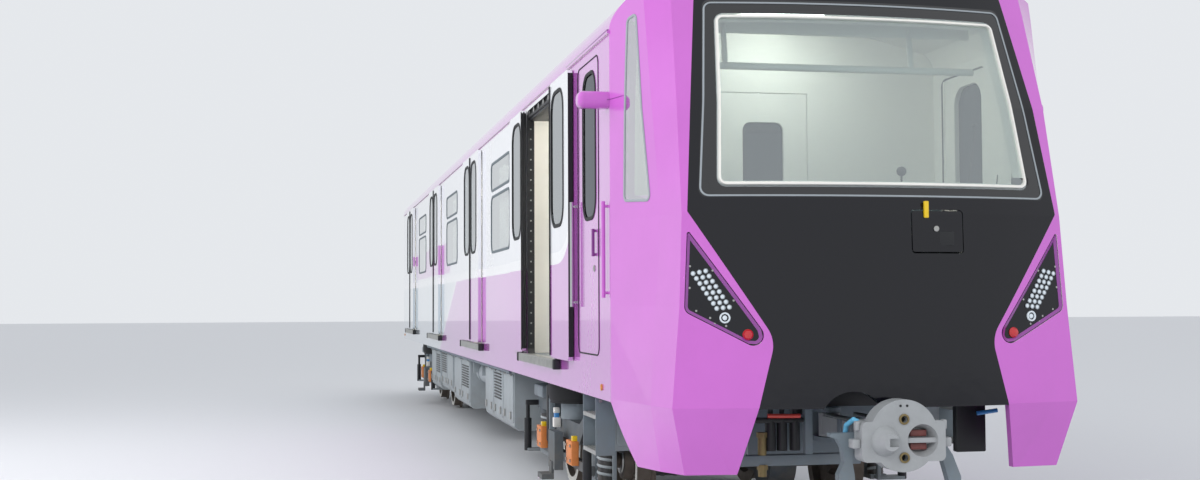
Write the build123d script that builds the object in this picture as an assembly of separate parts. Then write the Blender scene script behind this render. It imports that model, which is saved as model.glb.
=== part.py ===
"""Head car of a metro train, written as separate solids in millimetres.

The model is drawn in working coordinates: x runs across the car, y is the distance behind
the front coupling plane and z is the height over the rail top. export() then moves each
sub-part so that the row's origin lies under the middle of the car, at the wheel flanges.
The cab faces -Y. "left" is the -X side, seen on the left from in front of the cab.
"""
import os
from math import atan2, degrees

from build123d import *

# Overall sizes
COUPLED_LENGTH = 20120      # between the two coupling planes
CONE_REACH = 95             # the front coupler's cone stands this far before its plane
FLANGE_DROP = 30            # wheel flanges reach this far under the rail top
HALF_WIDTH = 1350           # body side, outside
FLOOR_Z = 1165              # walking level
CANT_Z = 3222               # gutter line, where the side meets the roof
SHOULDER_X = HALF_WIDTH - 88
SHOULDER_Z = CANT_Z + 190
ROOF_TOP = SHOULDER_Z + 198     # roof skin at the centre line
HEIGHT = ROOF_TOP + 70      # top of the roof units
PAD_Z = FLOOR_Z - 180       # underside of the floor beams

# Body shell
SEAM_Y = 1250               # joint between the cab mask and the body
SEAM_GAP = 0.4
END_WALL_SETBACK = 390      # front face of the end wall, from the rear coupling plane
END_WALL_Y = COUPLED_LENGTH - END_WALL_SETBACK
END_WALL_THICK = 60
SKIRT_Z = PAD_Z - 5         # bottom edge of the body side
SIDE_WALL = 60
FLOOR_THICK = 75

# Saloon doors
DOOR_COUNT = 4              # on each side
DOOR_FIRST_Y = 3920         # centre of the first doorway
DOOR_LAST_SETBACK = 2400    # centre of the last doorway, from the rear coupling plane
DOOR_PITCH = (COUPLED_LENGTH - DOOR_LAST_SETBACK - DOOR_FIRST_Y) / (DOOR_COUNT - 1)
DOORWAY_WIDTH = 1400
DOORWAY_TOP = 3180
DOORWAY_RADIUS = 70
LEAF_LAP = 60               # a closed leaf reaches this far past the doorway's side
LEAF_WIDTH = DOORWAY_WIDTH / 2 + LEAF_LAP
LEAF_THICK = 34
LEAF_OFF_WALL = 7           # running gap between a leaf and the body side
LEAF_TRAVEL = 700
LEAF_BASE = FLOOR_Z + 19
LEAF_TOP = DOORWAY_TOP + 16
LEAF_RADIUS = 45
MEET_GAP = 6                # between two closed leaves
LEAF_WINDOW_OFFSET = 322    # meeting edge to the window's centre line
LEAF_WINDOW_WIDTH = 486
LEAF_WINDOW_BASE = 2142
LEAF_WINDOW_TOP = 3096
LEAF_WINDOW_RADIUS = 150
PANE_THICK = 8
PANE_GAP = 0.4              # glass to its frame, all round

# Door sills
SILL_LENGTH = DOORWAY_WIDTH + 400
SILL_TOP = FLOOR_Z + 7
SILL_BASE = SILL_TOP - 66
SILL_REACH = 48             # out from the body side
SHOE_LENGTH = 60
SHOE_THICK = 12
SHOE_SINK = 12
SHOE_GAP = 0.3
SHOE_INSET = 90             # from the leaf's meeting edge

# Saloon windows
WINDOW_SHIFT = DOOR_PITCH / 2 + 100     # from a doorway's centre to the next window's centre
WINDOW_WIDTH = 1300
WINDOW_BASE = 2095
WINDOW_BAR_LOW = 2625
WINDOW_BAR_HIGH = 2700
WINDOW_TOP = 2950
WINDOW_RADIUS = 90
HOPPER_RADIUS = 60
WINDOW_LAP = 22             # the glass laps the frame behind it
GLASS_THICK = 12

# Cab side doors
CAB_DOOR_FRONT = 1600
CAB_DOOR_REAR = 2290
CAB_DOOR_BASE = FLOOR_Z + 79
CAB_DOOR_TOP = 3160
CAB_DOOR_GAP = 8
CAB_DOOR_THICK = 45
CAB_DOOR_RADIUS = 60
CAB_WINDOW_FRONT = 1692
CAB_WINDOW_REAR = 2112
CAB_WINDOW_BASE = 2130
CAB_WINDOW_TOP = 3072
CAB_WINDOW_RADIUS = 130
HINGE_PIN = 8
PIN_FIT = 0.08              # radial clearance of a pin in its bore
PIN_REACH = 14              # out of the door at its top and bottom

# Bulkhead between cab and saloon
BULKHEAD_Y = 2420
BULKHEAD_THICK = 40
BULKHEAD_OPENING = 330      # half width
BULKHEAD_DOOR_TOP = 3060
BULKHEAD_DOOR_THICK = 36

# Cab mask
MASK_WALL = 50
SKIN = 12                   # glass and flap thickness in the mask
TUSK_BASE = 627
TUSK_REAR = 905
MASK_FOLD_Z = 1000
BROW_Z = ROOF_TOP - 130
PANEL_GAP = 0.4
LAMP_RADII = (10, 48, 58)       # top, outer and inner corner
PANEL_RADIUS = 170          # the panel's inner corner beside a lamp cluster
ARCH_X = -208               # arch in the panel's foot, above the coupler's hoses
ARCH_TOP = 1084
ARCH_RADIUS = 200
SCREEN_RADIUS = 45

# Front flap
FLAP_LEFT = 160
FLAP_RIGHT = 470
FLAP_BASE = 1855
FLAP_TOP = 2086
FLAP_GAP = 6
FLAP_FOOT_GAP = 9
FLAP_PIN = 4
FLAP_PIN_REACH = 12
FLAP_PIN_DEPTH = 6          # behind the panel's face

# Camera pods behind the mask's rear rim
POD_Y = SEAM_Y + 72
POD_LENGTH = 130
POD_Z = 2820
POD_HEIGHT = 105
POD_REACH = 190
POD_RADIUS = 46

# Handrails beside the cab door
RAIL_RADIUS = 12
FRONT_RAIL = (1330, 1610, 2200, 26)     # y, lowest z, highest z, distance from the body side
REAR_RAIL = (2345, 1555, 2265, 38)

# Steps under a cab door
STEP_X = HALF_WIDTH - 20        # outer face
STEP_BASE = 600

# Running gear
BOGIE_FRONT_Y = 4250
BOGIE_REAR_SETBACK = 3270   # rear bogie's pivot, from the rear coupling plane
BOGIE_REAR_Y = COUPLED_LENGTH - BOGIE_REAR_SETBACK
WHEELBASE = 2170
WHEEL_RADIUS = 430
WHEEL_BACK = 720            # inner face of a wheel from the centre line
WHEEL_WIDTH = 130
FLANGE_WIDTH = 30
RIM_DEPTH = 62
WEB_THICK = 40
HUB_RADIUS = 135
AXLE_RADIUS = 82
JOURNAL_RADIUS = 60
AXLE_END = 1120
FRAME_X = 1030              # centre line of a side beam
FRAME_WIDTH = 130
TRANSOM_Y = 230
TRANSOM_WIDTH = 140
PIVOT_RADIUS = 70
PIVOT_FIT = 0.08
SEAT_GAP = 0.3
AIR_SPRING_X = 965
AIR_SPRING_RADIUS = 250
AIR_SPRING_BASE = 785       # underside of the bellows
SPRING_SEAT_Z = 300         # the axlebox's wings hold the coil springs here
SPRING_CUP_Z = 612
SPRING_RADIUS = 58
MOTOR_Y = 560
MOTOR_Z = 470
MOTOR_RADIUS = 225
GEAR_CLEARANCE = 6

# Between the bogies
BAY_CLEAR = 1900            # from a bogie's pivot to the first case
BAY_START = BOGIE_FRONT_Y + BAY_CLEAR
BAY_LENGTH = BOGIE_REAR_Y - BAY_CLEAR - BAY_START
BEARERS = 6
FRONT_BOX_AHEAD = 2150      # a junction box stands this far ahead of the front pivot
JACK_PAD_X = HALF_WIDTH - 118    # on the side sill
JACK_PAD_Y = 145            # ahead of the first case
JACK_PAD_HEIGHT = 24

# Couplers
COUPLER_Z = 828
COUPLER_PIVOT_Y = 1150
COUPLER_PIN = 30
COUPLER_EYE = 66
COUPLER_EYE_HEIGHT = 140
CLEVIS_GAP = 5
CLEVIS_PLATE = 30
HEAD_HALF_WIDTH = 239
HEAD_BASE = COUPLER_Z - 112
HEAD_SHOULDER = COUPLER_Z + 106
HEAD_DOME_Z = COUPLER_Z + 27
HEAD_DOME_RADIUS = 195
HEAD_DEPTH = 115
CONE_X = 108                # cone and funnel, from the centre line
AIR_PORT_RADIUS = 19
AIR_PORT_DEPTH = 40
AIR_PORTS_Z = (COUPLER_Z - 90, COUPLER_Z + 116)

# Brackets beside the front coupler's neck, as x and height over the coupler's centre
COUPLER_ARMS = (
    ((-140, 35), (-362, 35), (-362, 14), (-322, 2), (-296, -45), (-284, -120), (-318, -190), (-318, -230),
     (-225, -230), (-228, -190), (-240, -120), (-226, -40), (-200, -25), (-140, -25)),
    ((140, 35), (262, 35), (300, -28), (345, -95), (393, -215), (393, -242), (322, -242), (290, -130),
     (238, -45), (140, -25)),
)

# Gangway
GANGWAY_HALF = 640
GANGWAY_TOP = 3130
GANGWAY_PLEATS = 5
GANGWAY_WALL = 45
GANGWAY_SETBACK = 35        # the face frame, from the rear coupling plane
GANGWAY_FACE_Y = COUPLED_LENGTH - GANGWAY_SETBACK

# Interior
LINING_GAP = 0.4            # between an inside piece and the shell that holds it
HEADER_X = HALF_WIDTH - 240     # inner face of a door drive's cover
HEADER_BASE = DOORWAY_TOP + 20
HEADER_LENGTH = 1800
BENCH_CLEAR = 1000          # bench end from a doorway's centre
SCREEN_THICK = 20           # the draught screen at a bench's end
SCREEN_TOP = DOORWAY_TOP - 30
RAIL_POLE = 17
POLE_X = 760
POLE_TOP = ROOF_TOP - 140
POLE_OFF_DOOR = 960         # from a doorway's centre
CEILING_RAIL_Z = 2950

# Mask sections, lowest first: height, y on the centre line, the end of the curved front
# (x, y), the outer crease (x, y) and the window crease (x, y). The seam closes each one.
MASK_SECTIONS = (
    # z, front_y, curve_x, curve_y, crease_x, crease_y, fold_x, fold_y
    (TUSK_BASE - 60, 315, 830, 400, 1098, 428, 1186, 630),
    (MASK_FOLD_Z, 190, 1050, 296, 1203, 324, 1258, 600),
    (1560, 205, 1090, 328, 1155, 338, 1215, 640),
    (2070, 225, 1102, 357, 1132, 366, 1190, 620),
    (2710, 385, 1044, 494, 1120, 510, 1215, 710),
    (3300, 590, 972, 690, 1098, 704, 1226, 840),
    (ROOF_TOP + 100, 735, 915, 830, 1078, 850, 1232, 950),
)

# Front view outlines on the right half, as x and z
BLACK_PANEL = ((0, BROW_Z + 10), (946, BROW_Z + 10), (1044, 2711), (1102, 2079),
               (640, 1371), (737, 992), (0, 992))
PANEL_RADII = (0, 0, 0, 14, PANEL_RADIUS, 0, 0)
WINDSCREEN = ((0, 3330), (918, 3330), (1038, 2159), (0, 2159))
SCREEN_RADII = (0, SCREEN_RADIUS, SCREEN_RADIUS, 0)
LAMP_CLUSTER = ((1106, 1984), (1131, 1527), (572, 1233))
TUSK_NOTCH = ((0, 992), (737, 992), (842, TUSK_BASE - 80), (0, TUSK_BASE - 80))

# Cab side window in the mask, as y and z
SIDE_WINDOW = ((925, 3280), (1035, 3262), (1066, 2190), (735, 2170))

DOOR_CENTRES = [DOOR_FIRST_Y + DOOR_PITCH * i for i in range(DOOR_COUNT)]
BOGIE_PLACES = (("front", BOGIE_FRONT_Y), ("rear", BOGIE_REAR_Y))
SIDES = (("left", -1), ("right", 1))
LEAF_INNER_X = HALF_WIDTH + LEAF_OFF_WALL
LEAF_OUTER_X = LEAF_INNER_X + LEAF_THICK
SLOT_X = (LEAF_INNER_X + LEAF_OUTER_X) / 2
REAR_COUPLER_PIVOT_Y = COUPLED_LENGTH - COUPLER_PIVOT_Y
CLEVIS_REACH = 140          # from a coupler's pivot to its headstock
HEADSTOCK_DEPTH = 110

PLACE = Pos(0, -(COUPLED_LENGTH - CONE_REACH) / 2, FLANGE_DROP)


def block(x0, x1, y0, y1, z0, z1):
    """A box between two corners."""
    return Pos((x0 + x1) / 2, (y0 + y1) / 2, (z0 + z1) / 2) * Box(x1 - x0, y1 - y0, z1 - z0)


def outline(points, radius=0):
    """A flat face through points, its corners rounded by one radius or by one each."""
    face = make_face(Polyline(*points, close=True))
    if not isinstance(radius, (list, tuple)):
        return fillet(face.vertices(), radius) if radius else face
    for (u, v), turn in zip(points, radius):
        if turn:
            corner = min(face.vertices(), key=lambda spot: (spot.X - u) ** 2 + (spot.Y - v) ** 2)
            face = fillet(corner, turn)
    return face


def rounded(u0, u1, v0, v1, radius):
    """A rectangular face with rounded corners."""
    return Pos((u0 + u1) / 2, (v0 + v1) / 2) * RectangleRounded(u1 - u0, v1 - v0, radius)


def along_x(face, x0, x1):
    """Extrude a face drawn in y and z."""
    return extrude(Plane(origin=(x0, 0, 0), x_dir=(0, 1, 0), z_dir=(1, 0, 0)) * face, x1 - x0)


def along_y(face, y0, y1):
    """Extrude a face drawn in x and z."""
    return extrude(Plane(origin=(0, y1, 0), x_dir=(1, 0, 0), z_dir=(0, -1, 0)) * face, y1 - y0)


def rod_x(x0, x1, y, z, radius):
    """A round bar along x."""
    return Pos((x0 + x1) / 2, y, z) * Rot(0, 90, 0) * Cylinder(radius, x1 - x0)


def rod_y(x, y0, y1, z, radius):
    """A round bar along y."""
    return Pos(x, (y0 + y1) / 2, z) * Rot(90, 0, 0) * Cylinder(radius, y1 - y0)


def rod_z(x, y, z0, z1, radius):
    """A round bar along z."""
    return Pos(x, y, (z0 + z1) / 2) * Cylinder(radius, z1 - z0)


def flipped(shape):
    """The same shape on the other side of the car."""
    return mirror(shape, about=Plane.YZ)


def both_sides(shape):
    """A shape and its mirror image, as a list of solids."""
    return shape.solids() + flipped(shape).solids()


def symmetric(points):
    """A closed outline from its right half, which starts and ends on the centre line."""
    return list(points) + [(-x, z) for x, z in reversed(points) if x]


def body_face(inset=0, base=SKIRT_Z):
    """The body's cross-section, drawn in x and z."""
    half = HALF_WIDTH - inset
    shoulder_x = SHOULDER_X - inset * 0.7
    shoulder_z = SHOULDER_Z - inset * 0.8
    cant_mid = (half - (half - shoulder_x) * 0.22, CANT_Z + (shoulder_z - CANT_Z) * 0.56)
    edges = Line((-half, base), (half, base)) + Line((half, base), (half, CANT_Z))
    edges += ThreePointArc((half, CANT_Z), cant_mid, (shoulder_x, shoulder_z))
    edges += ThreePointArc((shoulder_x, shoulder_z), (0, ROOF_TOP - inset), (-shoulder_x, shoulder_z))
    edges += ThreePointArc((-shoulder_x, shoulder_z), (-cant_mid[0], cant_mid[1]), (-half, CANT_Z))
    edges += Line((-half, CANT_Z), (-half, base))
    return make_face(edges)


def body_tube(y0, y1):
    """The body's walls and roof between two stations, open below."""
    return along_y(body_face(), y0, y1) - along_y(body_face(SIDE_WALL, SKIRT_Z - 50), y0 - 1, y1 + 1)


def window_places():
    """Centre y of each saloon window."""
    return [centre + WINDOW_SHIFT for centre in DOOR_CENTRES[:-1]]


def pane_faces(centre, grow):
    """The lower pane and the hopper pane of a saloon window, drawn in y and z."""
    left = centre - WINDOW_WIDTH / 2 - grow
    right = centre + WINDOW_WIDTH / 2 + grow
    lower = rounded(left, right, WINDOW_BASE - grow, WINDOW_BAR_LOW + grow, WINDOW_RADIUS + grow)
    upper = rounded(left, right, WINDOW_BAR_HIGH - grow, WINDOW_TOP + grow, HOPPER_RADIUS + grow)
    return lower, upper


def side_wall():
    """The right side wall: doorways, window rebates and the cab door's opening."""
    y0 = SEAM_Y + SEAM_GAP
    wall = body_tube(y0, END_WALL_Y) & block(0, HALF_WIDTH + 1, y0, END_WALL_Y, SKIRT_Z, CANT_Z)
    inside, outside = HALF_WIDTH - SIDE_WALL - 5, HALF_WIDTH + 5
    for centre in DOOR_CENTRES:
        reach = DOORWAY_WIDTH / 2
        wall -= along_x(rounded(centre - reach, centre + reach, FLOOR_Z, DOORWAY_TOP, DOORWAY_RADIUS),
                        inside, outside)
    for centre in window_places():
        for hole, rebate in zip(pane_faces(centre, -WINDOW_LAP), pane_faces(centre, PANE_GAP)):
            wall -= along_x(hole, inside, outside)
            wall -= along_x(rebate, HALF_WIDTH - GLASS_THICK - PANE_GAP, outside)
    wall -= along_x(rounded(CAB_DOOR_FRONT, CAB_DOOR_REAR, CAB_DOOR_BASE, CAB_DOOR_TOP, CAB_DOOR_RADIUS),
                    inside, outside)
    wall -= cab_hinge_pin(PIN_FIT)
    return wall


def cab_hinge_pin(grow=0):
    """The cab door's upright hinge pin, or its bore."""
    low = CAB_DOOR_BASE + CAB_DOOR_GAP - PIN_REACH - grow * 5
    high = CAB_DOOR_TOP - CAB_DOOR_GAP + PIN_REACH + grow * 5
    return rod_z(HALF_WIDTH - CAB_DOOR_THICK - 1, CAB_DOOR_REAR - 15, low, high, HINGE_PIN + grow)


def cab_door():
    """The right cab door with its glass, handle and hinge pin."""
    inner = HALF_WIDTH - CAB_DOOR_THICK
    leaf = along_x(rounded(CAB_DOOR_FRONT + CAB_DOOR_GAP, CAB_DOOR_REAR - CAB_DOOR_GAP,
                           CAB_DOOR_BASE + CAB_DOOR_GAP, CAB_DOOR_TOP - CAB_DOOR_GAP,
                           CAB_DOOR_RADIUS - CAB_DOOR_GAP), inner, HALF_WIDTH)
    leaf += cab_hinge_pin()
    window = (CAB_WINDOW_FRONT, CAB_WINDOW_REAR, CAB_WINDOW_BASE, CAB_WINDOW_TOP, CAB_WINDOW_RADIUS)
    leaf -= along_x(rounded(*window), inner - 15, HALF_WIDTH + 5)
    pane = along_x(rounded(window[0] + PANE_GAP, window[1] - PANE_GAP, window[2] + PANE_GAP,
                           window[3] - PANE_GAP, window[4]), HALF_WIDTH - 4 - PANE_THICK, HALF_WIDTH - 4)
    handle_y, handle_low, handle_high, stand = CAB_DOOR_FRONT + 90, 1875, 2050, 19
    grip = rod_z(HALF_WIDTH + stand, handle_y, handle_low, handle_high, 10)
    for z in (handle_low + 12, handle_high - 12):
        grip += rod_x(HALF_WIDTH - 5, HALF_WIDTH + stand, handle_y, z, 9)
    return [leaf + grip, pane]


def saloon_glass():
    """Both panes of every saloon window on one side."""
    outer = HALF_WIDTH
    return [along_x(face, outer - GLASS_THICK, outer) for centre in window_places()
            for face in pane_faces(centre, 0)]


def roof_shell():
    """The roof: two cantrails with their gutters, and two sheets that meet on the centre line."""
    y0 = SEAM_Y + SEAM_GAP
    skin = body_tube(y0, END_WALL_Y)
    lip = outline([(HALF_WIDTH - 6, CANT_Z), (HALF_WIDTH + 14, CANT_Z), (HALF_WIDTH + 14, CANT_Z + 14),
                   (HALF_WIDTH - 10, CANT_Z + 34)])
    seam = SHOULDER_X - 40
    cantrail = skin & block(seam, HALF_WIDTH + 1, y0, END_WALL_Y, CANT_Z, ROOF_TOP)
    sheet = skin & block(SEAM_GAP / 2, seam - SEAM_GAP, y0, END_WALL_Y, CANT_Z, ROOF_TOP + 1)
    return both_sides(cantrail + along_y(lip, y0, END_WALL_Y)) + both_sides(sheet)


def end_wall():
    """The rear end wall with the gangway opening."""
    wall = along_y(body_face(), END_WALL_Y, END_WALL_Y + END_WALL_THICK)
    return wall - along_y(rounded(-GANGWAY_HALF, GANGWAY_HALF, FLOOR_Z, GANGWAY_TOP, 90),
                          END_WALL_Y - 5, END_WALL_Y + END_WALL_THICK + 5)


def gangway():
    """Half of the gangway's bellows: pleats round the passage, with a face frame."""
    start = END_WALL_Y + END_WALL_THICK
    half, low, high = GANGWAY_HALF + GANGWAY_WALL, FLOOR_Z - GANGWAY_WALL, GANGWAY_TOP + GANGWAY_WALL
    pitch = (GANGWAY_FACE_Y - start) / GANGWAY_PLEATS
    tube = None
    for i in range(GANGWAY_PLEATS):
        y = start + pitch * i
        neck = along_y(rounded(-half, half, low, high, 110), y, y + pitch / 2)
        fold = along_y(rounded(-half - 55, half + 55, low - 55, high + 55, 150), y + pitch / 2, y + pitch)
        tube = neck + fold if tube is None else tube + neck + fold
    return tube - along_y(rounded(-GANGWAY_HALF, GANGWAY_HALF, FLOOR_Z, GANGWAY_TOP, 90),
                          start - 5, GANGWAY_FACE_Y + 5)


def mask_solid(inset=0):
    """The cab mask filled in, every wall moved inwards by inset."""
    faces = []
    for z, front_y, curve_x, curve_y, crease_x, crease_y, fold_x, fold_y in MASK_SECTIONS:
        curve = (curve_x - inset * 0.15, curve_y + inset)
        crease = (crease_x - inset * 0.75, crease_y + inset * 0.9)
        fold = (fold_x - inset, fold_y + inset * 0.3)
        seam = (HALF_WIDTH - inset, SEAM_Y + (1 if inset else 0))
        right = [curve, crease, fold, seam]
        left = [(-x, y) for x, y in reversed(right)]
        edges = ThreePointArc(left[-1], (0, front_y + inset), right[0])
        edges += Polyline(*right, *left)
        faces.append(Pos(0, 0, z) * make_face(edges))
    solid = loft(faces, ruled=True)
    lift = inset
    top = ROOF_TOP - lift
    side = outline([(0, TUSK_BASE - (200 if inset else 0)), (TUSK_REAR, TUSK_BASE - (200 if inset else 0)),
                    (SEAM_Y + 5, MASK_FOLD_Z - 14 - (300 if inset else 0)), (SEAM_Y + 5, top),
                    (1000, top - 34), (810, BROW_Z - lift), (0, BROW_Z - lift)])
    solid &= along_x(side, -HALF_WIDTH - 5, HALF_WIDTH + 5)
    return solid & along_y(body_face(inset, 300), 0, SEAM_Y + 5)


def front_face(points, radii=None):
    """A front view outline from its right half, with a radius for each corner."""
    if not radii:
        return outline(symmetric(points))
    return outline(symmetric(points), list(radii) + [r for (x, _), r in reversed(list(zip(points, radii))) if x])


def front_prism(points, radii=None, y0=-50, y1=1100):
    """A front view outline pushed through the mask."""
    return along_y(front_face(points, radii), y0, y1)


def flap_face(grow, foot):
    """The front flap's outline, drawn in x and z."""
    return rounded(FLAP_LEFT - grow, FLAP_RIGHT + grow, FLAP_BASE - foot, FLAP_TOP + grow, 15 + grow)


def front_y(x, z):
    """The y of the mask's curved front at x and z."""
    rows = MASK_SECTIONS
    for low, high in zip(rows, rows[1:]):
        if low[0] <= z <= high[0]:
            share = (z - low[0]) / (high[0] - low[0])
            centre, curve_x, curve_y = [low[i] + (high[i] - low[i]) * share for i in (1, 2, 3)]
            rise = curve_y - centre
            radius = (curve_x ** 2 + rise ** 2) / (2 * rise)
            return centre + radius - (radius ** 2 - x ** 2) ** 0.5
    return rows[0][1]


def flap_axis():
    """Two ends of the flap's hinge line."""
    z = FLAP_BASE + FLAP_PIN_DEPTH
    return [(x, front_y(x, z) + FLAP_PIN_DEPTH, z)
            for x in (FLAP_LEFT - FLAP_PIN_REACH, FLAP_RIGHT + FLAP_PIN_REACH)]


def flap_pin(grow=0):
    """The flap's hinge pin, or its bore."""
    (x0, y0, z), (x1, y1, _) = flap_axis()
    run = ((x1 - x0) ** 2 + (y1 - y0) ** 2) ** 0.5
    turn = degrees(atan2(y1 - y0, x1 - x0))
    return (Pos((x0 + x1) / 2, (y0 + y1) / 2, z) * Rot(0, 0, turn) * Rot(0, 90, 0)
            * Cylinder(FLAP_PIN + grow, run + grow * 10))


def mask_parts():
    """The mask, black front panel, windscreen, side glass, lamp clusters and flap."""
    outer, skin, inner = mask_solid(), mask_solid(SKIN), mask_solid(MASK_WALL)
    shell = outer - inner - front_prism(TUSK_NOTCH)
    rind = shell - skin
    black = front_prism(BLACK_PANEL, PANEL_RADII)
    glass_prism = front_prism(WINDSCREEN, SCREEN_RADII)
    cluster = along_y(outline(LAMP_CLUSTER, LAMP_RADII), -50, 700)
    side_window = along_x(outline(SIDE_WINDOW, 40), 1000, HALF_WIDTH + 5)
    side_hole = along_x(offset(outline(SIDE_WINDOW, 50), -25), 1000, HALF_WIDTH + 5)
    side_window += flipped(side_window)
    side_hole += flipped(side_hole)
    mask = shell - black - cluster - flipped(cluster) - side_hole - (rind & side_window)
    side_panes = rind & side_window
    panel = shell & along_y(offset(front_face(BLACK_PANEL, PANEL_RADII), -PANEL_GAP), -50, 1100)
    windscreen = rind & glass_prism
    clear_view = front_prism([(x - 45 if x else 0, z + (-45 if z > 2500 else 45)) for x, z in WINDSCREEN],
                             SCREEN_RADII)
    panel = panel - windscreen - clear_view
    arch = rod_y(ARCH_X, -50, 700, ARCH_TOP - ARCH_RADIUS, ARCH_RADIUS)
    flap = (rind & along_y(flap_face(0, 0), -50, 700)) + (flap_pin() & outer)
    panel = panel - arch - along_y(flap_face(FLAP_GAP, FLAP_FOOT_GAP), -50, 700) - flap_pin(PIN_FIT)
    bezel = along_y(offset(outline(LAMP_CLUSTER, LAMP_RADII), -PANEL_GAP), -50, 700)
    lamps = (shell - rind) & bezel
    return mask, panel, windscreen, side_panes, lamps, flap


def camera_pod():
    """The right camera pod: an arm with a rounded tip on the body side, close behind the mask."""
    pod = along_x(rounded(POD_Y - POD_LENGTH / 2, POD_Y + POD_LENGTH / 2, POD_Z - POD_HEIGHT / 2,
                          POD_Z + POD_HEIGHT / 2, POD_RADIUS), HALF_WIDTH, HALF_WIDTH + POD_REACH)
    return fillet(pod.faces().sort_by(Axis.X)[-1].edges(), POD_RADIUS - 10)


def handrails():
    """Two upright handrails beside the right cab door."""
    rails = []
    for y, low, high, stand in (FRONT_RAIL, REAR_RAIL):
        rail = rod_z(HALF_WIDTH + stand, y, low, high, RAIL_RADIUS)
        for z in (low + 30, high - 30):
            rail += rod_x(HALF_WIDTH, HALF_WIDTH + stand, y, z, RAIL_RADIUS - 3)
        rails.append(rail)
    return rails


def leaf(centre, way):
    """A closed leaf on the right side. way is -1 for the front leaf and 1 for the rear one."""
    near, far = MEET_GAP / 2, LEAF_WIDTH

    def span(a, b):
        return sorted((centre + way * a, centre + way * b))

    y0, y1 = span(near, far)
    panel = along_x(rounded(y0, y1, LEAF_BASE, LEAF_TOP, LEAF_RADIUS), LEAF_INNER_X, LEAF_OUTER_X)
    half = LEAF_WINDOW_WIDTH / 2
    w0, w1 = span(LEAF_WINDOW_OFFSET - half, LEAF_WINDOW_OFFSET + half)
    panel -= along_x(rounded(w0, w1, LEAF_WINDOW_BASE, LEAF_WINDOW_TOP, LEAF_WINDOW_RADIUS),
                     LEAF_INNER_X - 5, LEAF_OUTER_X + 5)
    s0, s1 = span(SHOE_INSET, SHOE_INSET + SHOE_LENGTH)
    panel += block(SLOT_X - SHOE_THICK / 2, SLOT_X + SHOE_THICK / 2, s0, s1, SILL_TOP - SHOE_SINK,
                   LEAF_BASE + 10)
    pane = along_x(rounded(w0 + PANE_GAP, w1 - PANE_GAP, LEAF_WINDOW_BASE + PANE_GAP,
                           LEAF_WINDOW_TOP - PANE_GAP, LEAF_WINDOW_RADIUS),
                   LEAF_OUTER_X - 2 - PANE_THICK, LEAF_OUTER_X - 2)
    return [panel, pane]


def sill(centre):
    """A doorway's outside sill with the guide slot of its leaves."""
    y0, y1 = centre - SILL_LENGTH / 2, centre + SILL_LENGTH / 2
    bar = block(HALF_WIDTH, HALF_WIDTH + SILL_REACH, y0, y1, SILL_BASE, SILL_TOP)
    slot = SHOE_THICK / 2 + SHOE_GAP
    return bar - block(SLOT_X - slot, SLOT_X + slot, y0 + 20, y1 - 20, SILL_TOP - SHOE_SINK - SHOE_GAP,
                       SILL_TOP + 5)


def door_header(centre):
    """The door drive's cover inside, above a doorway, fixed to the wall and the roof."""
    y0, y1 = centre - HEADER_LENGTH / 2, centre + HEADER_LENGTH / 2
    box = block(HEADER_X, HALF_WIDTH, y0, y1, HEADER_BASE, ROOF_TOP)
    return box & along_y(body_face(SIDE_WALL + LINING_GAP, FLOOR_Z), y0, y1)


def underframe():
    """Floor, side sills with jacking pads, bearers, bolsters with pivot pins, and headstocks."""
    inner = HALF_WIDTH - SIDE_WALL - 0.5
    floor_base = FLOOR_Z - FLOOR_THICK
    under = floor_base - SEAM_GAP
    web = inner - 90 - SEAM_GAP         # the cross members end at the side sills
    y0 = SEAM_Y + SEAM_GAP
    members = [block(-inner, inner, y0, END_WALL_Y, floor_base, FLOOR_Z)
               + block(-1050, 1050, 430, SEAM_Y + 10, floor_base, FLOOR_Z)]
    sill_bar = block(inner - 90, inner, y0, END_WALL_Y, PAD_Z, under)
    for y in (BAY_START - JACK_PAD_Y, BAY_START + BAY_LENGTH + JACK_PAD_Y):
        sill_bar += block(JACK_PAD_X - 32, JACK_PAD_X + 57, y - 60, y + 60, PAD_Z - JACK_PAD_HEIGHT, PAD_Z + 5)
    members += both_sides(sill_bar)
    for i in range(BEARERS):
        y = BAY_START + (BAY_LENGTH - 90) * i / (BEARERS - 1)
        members.append(block(-web, web, y, y + 90, PAD_Z, under))
    for _, y in BOGIE_PLACES:
        members.append(block(-web, web, y - 320, y + 320, PAD_Z, under)
                       + rod_z(0, y, PAD_Z - 425, PAD_Z + 5, PIVOT_RADIUS))
    for y in (COUPLER_PIVOT_Y + CLEVIS_REACH, REAR_COUPLER_PIVOT_Y - CLEVIS_REACH - HEADSTOCK_DEPTH):
        members.append(block(-480, 480, y, y + HEADSTOCK_DEPTH, COUPLER_Z - 188, under))
    return members


def coupler_carrier(pivot_y, way):
    """The clevis that holds a coupler. way is -1 where the coupler points forwards."""
    half = COUPLER_EYE_HEIGHT / 2 + CLEVIS_GAP
    base = sorted((pivot_y - way * CLEVIS_REACH, pivot_y - way * (CLEVIS_REACH - 35)))
    part = block(-200, 200, *base, COUPLER_Z - 150, COUPLER_Z + 150)
    for z in (COUPLER_Z - half - CLEVIS_PLATE, COUPLER_Z + half):
        y0, y1 = sorted((pivot_y - way * 110, pivot_y))
        part += block(-70, 70, y0, y1, z, z + CLEVIS_PLATE)
        part += rod_z(0, pivot_y, z, z + CLEVIS_PLATE, 70)
    part += rod_z(0, pivot_y, COUPLER_Z - half - CLEVIS_PLATE, COUPLER_Z + half + CLEVIS_PLATE, COUPLER_PIN)
    return part


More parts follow.
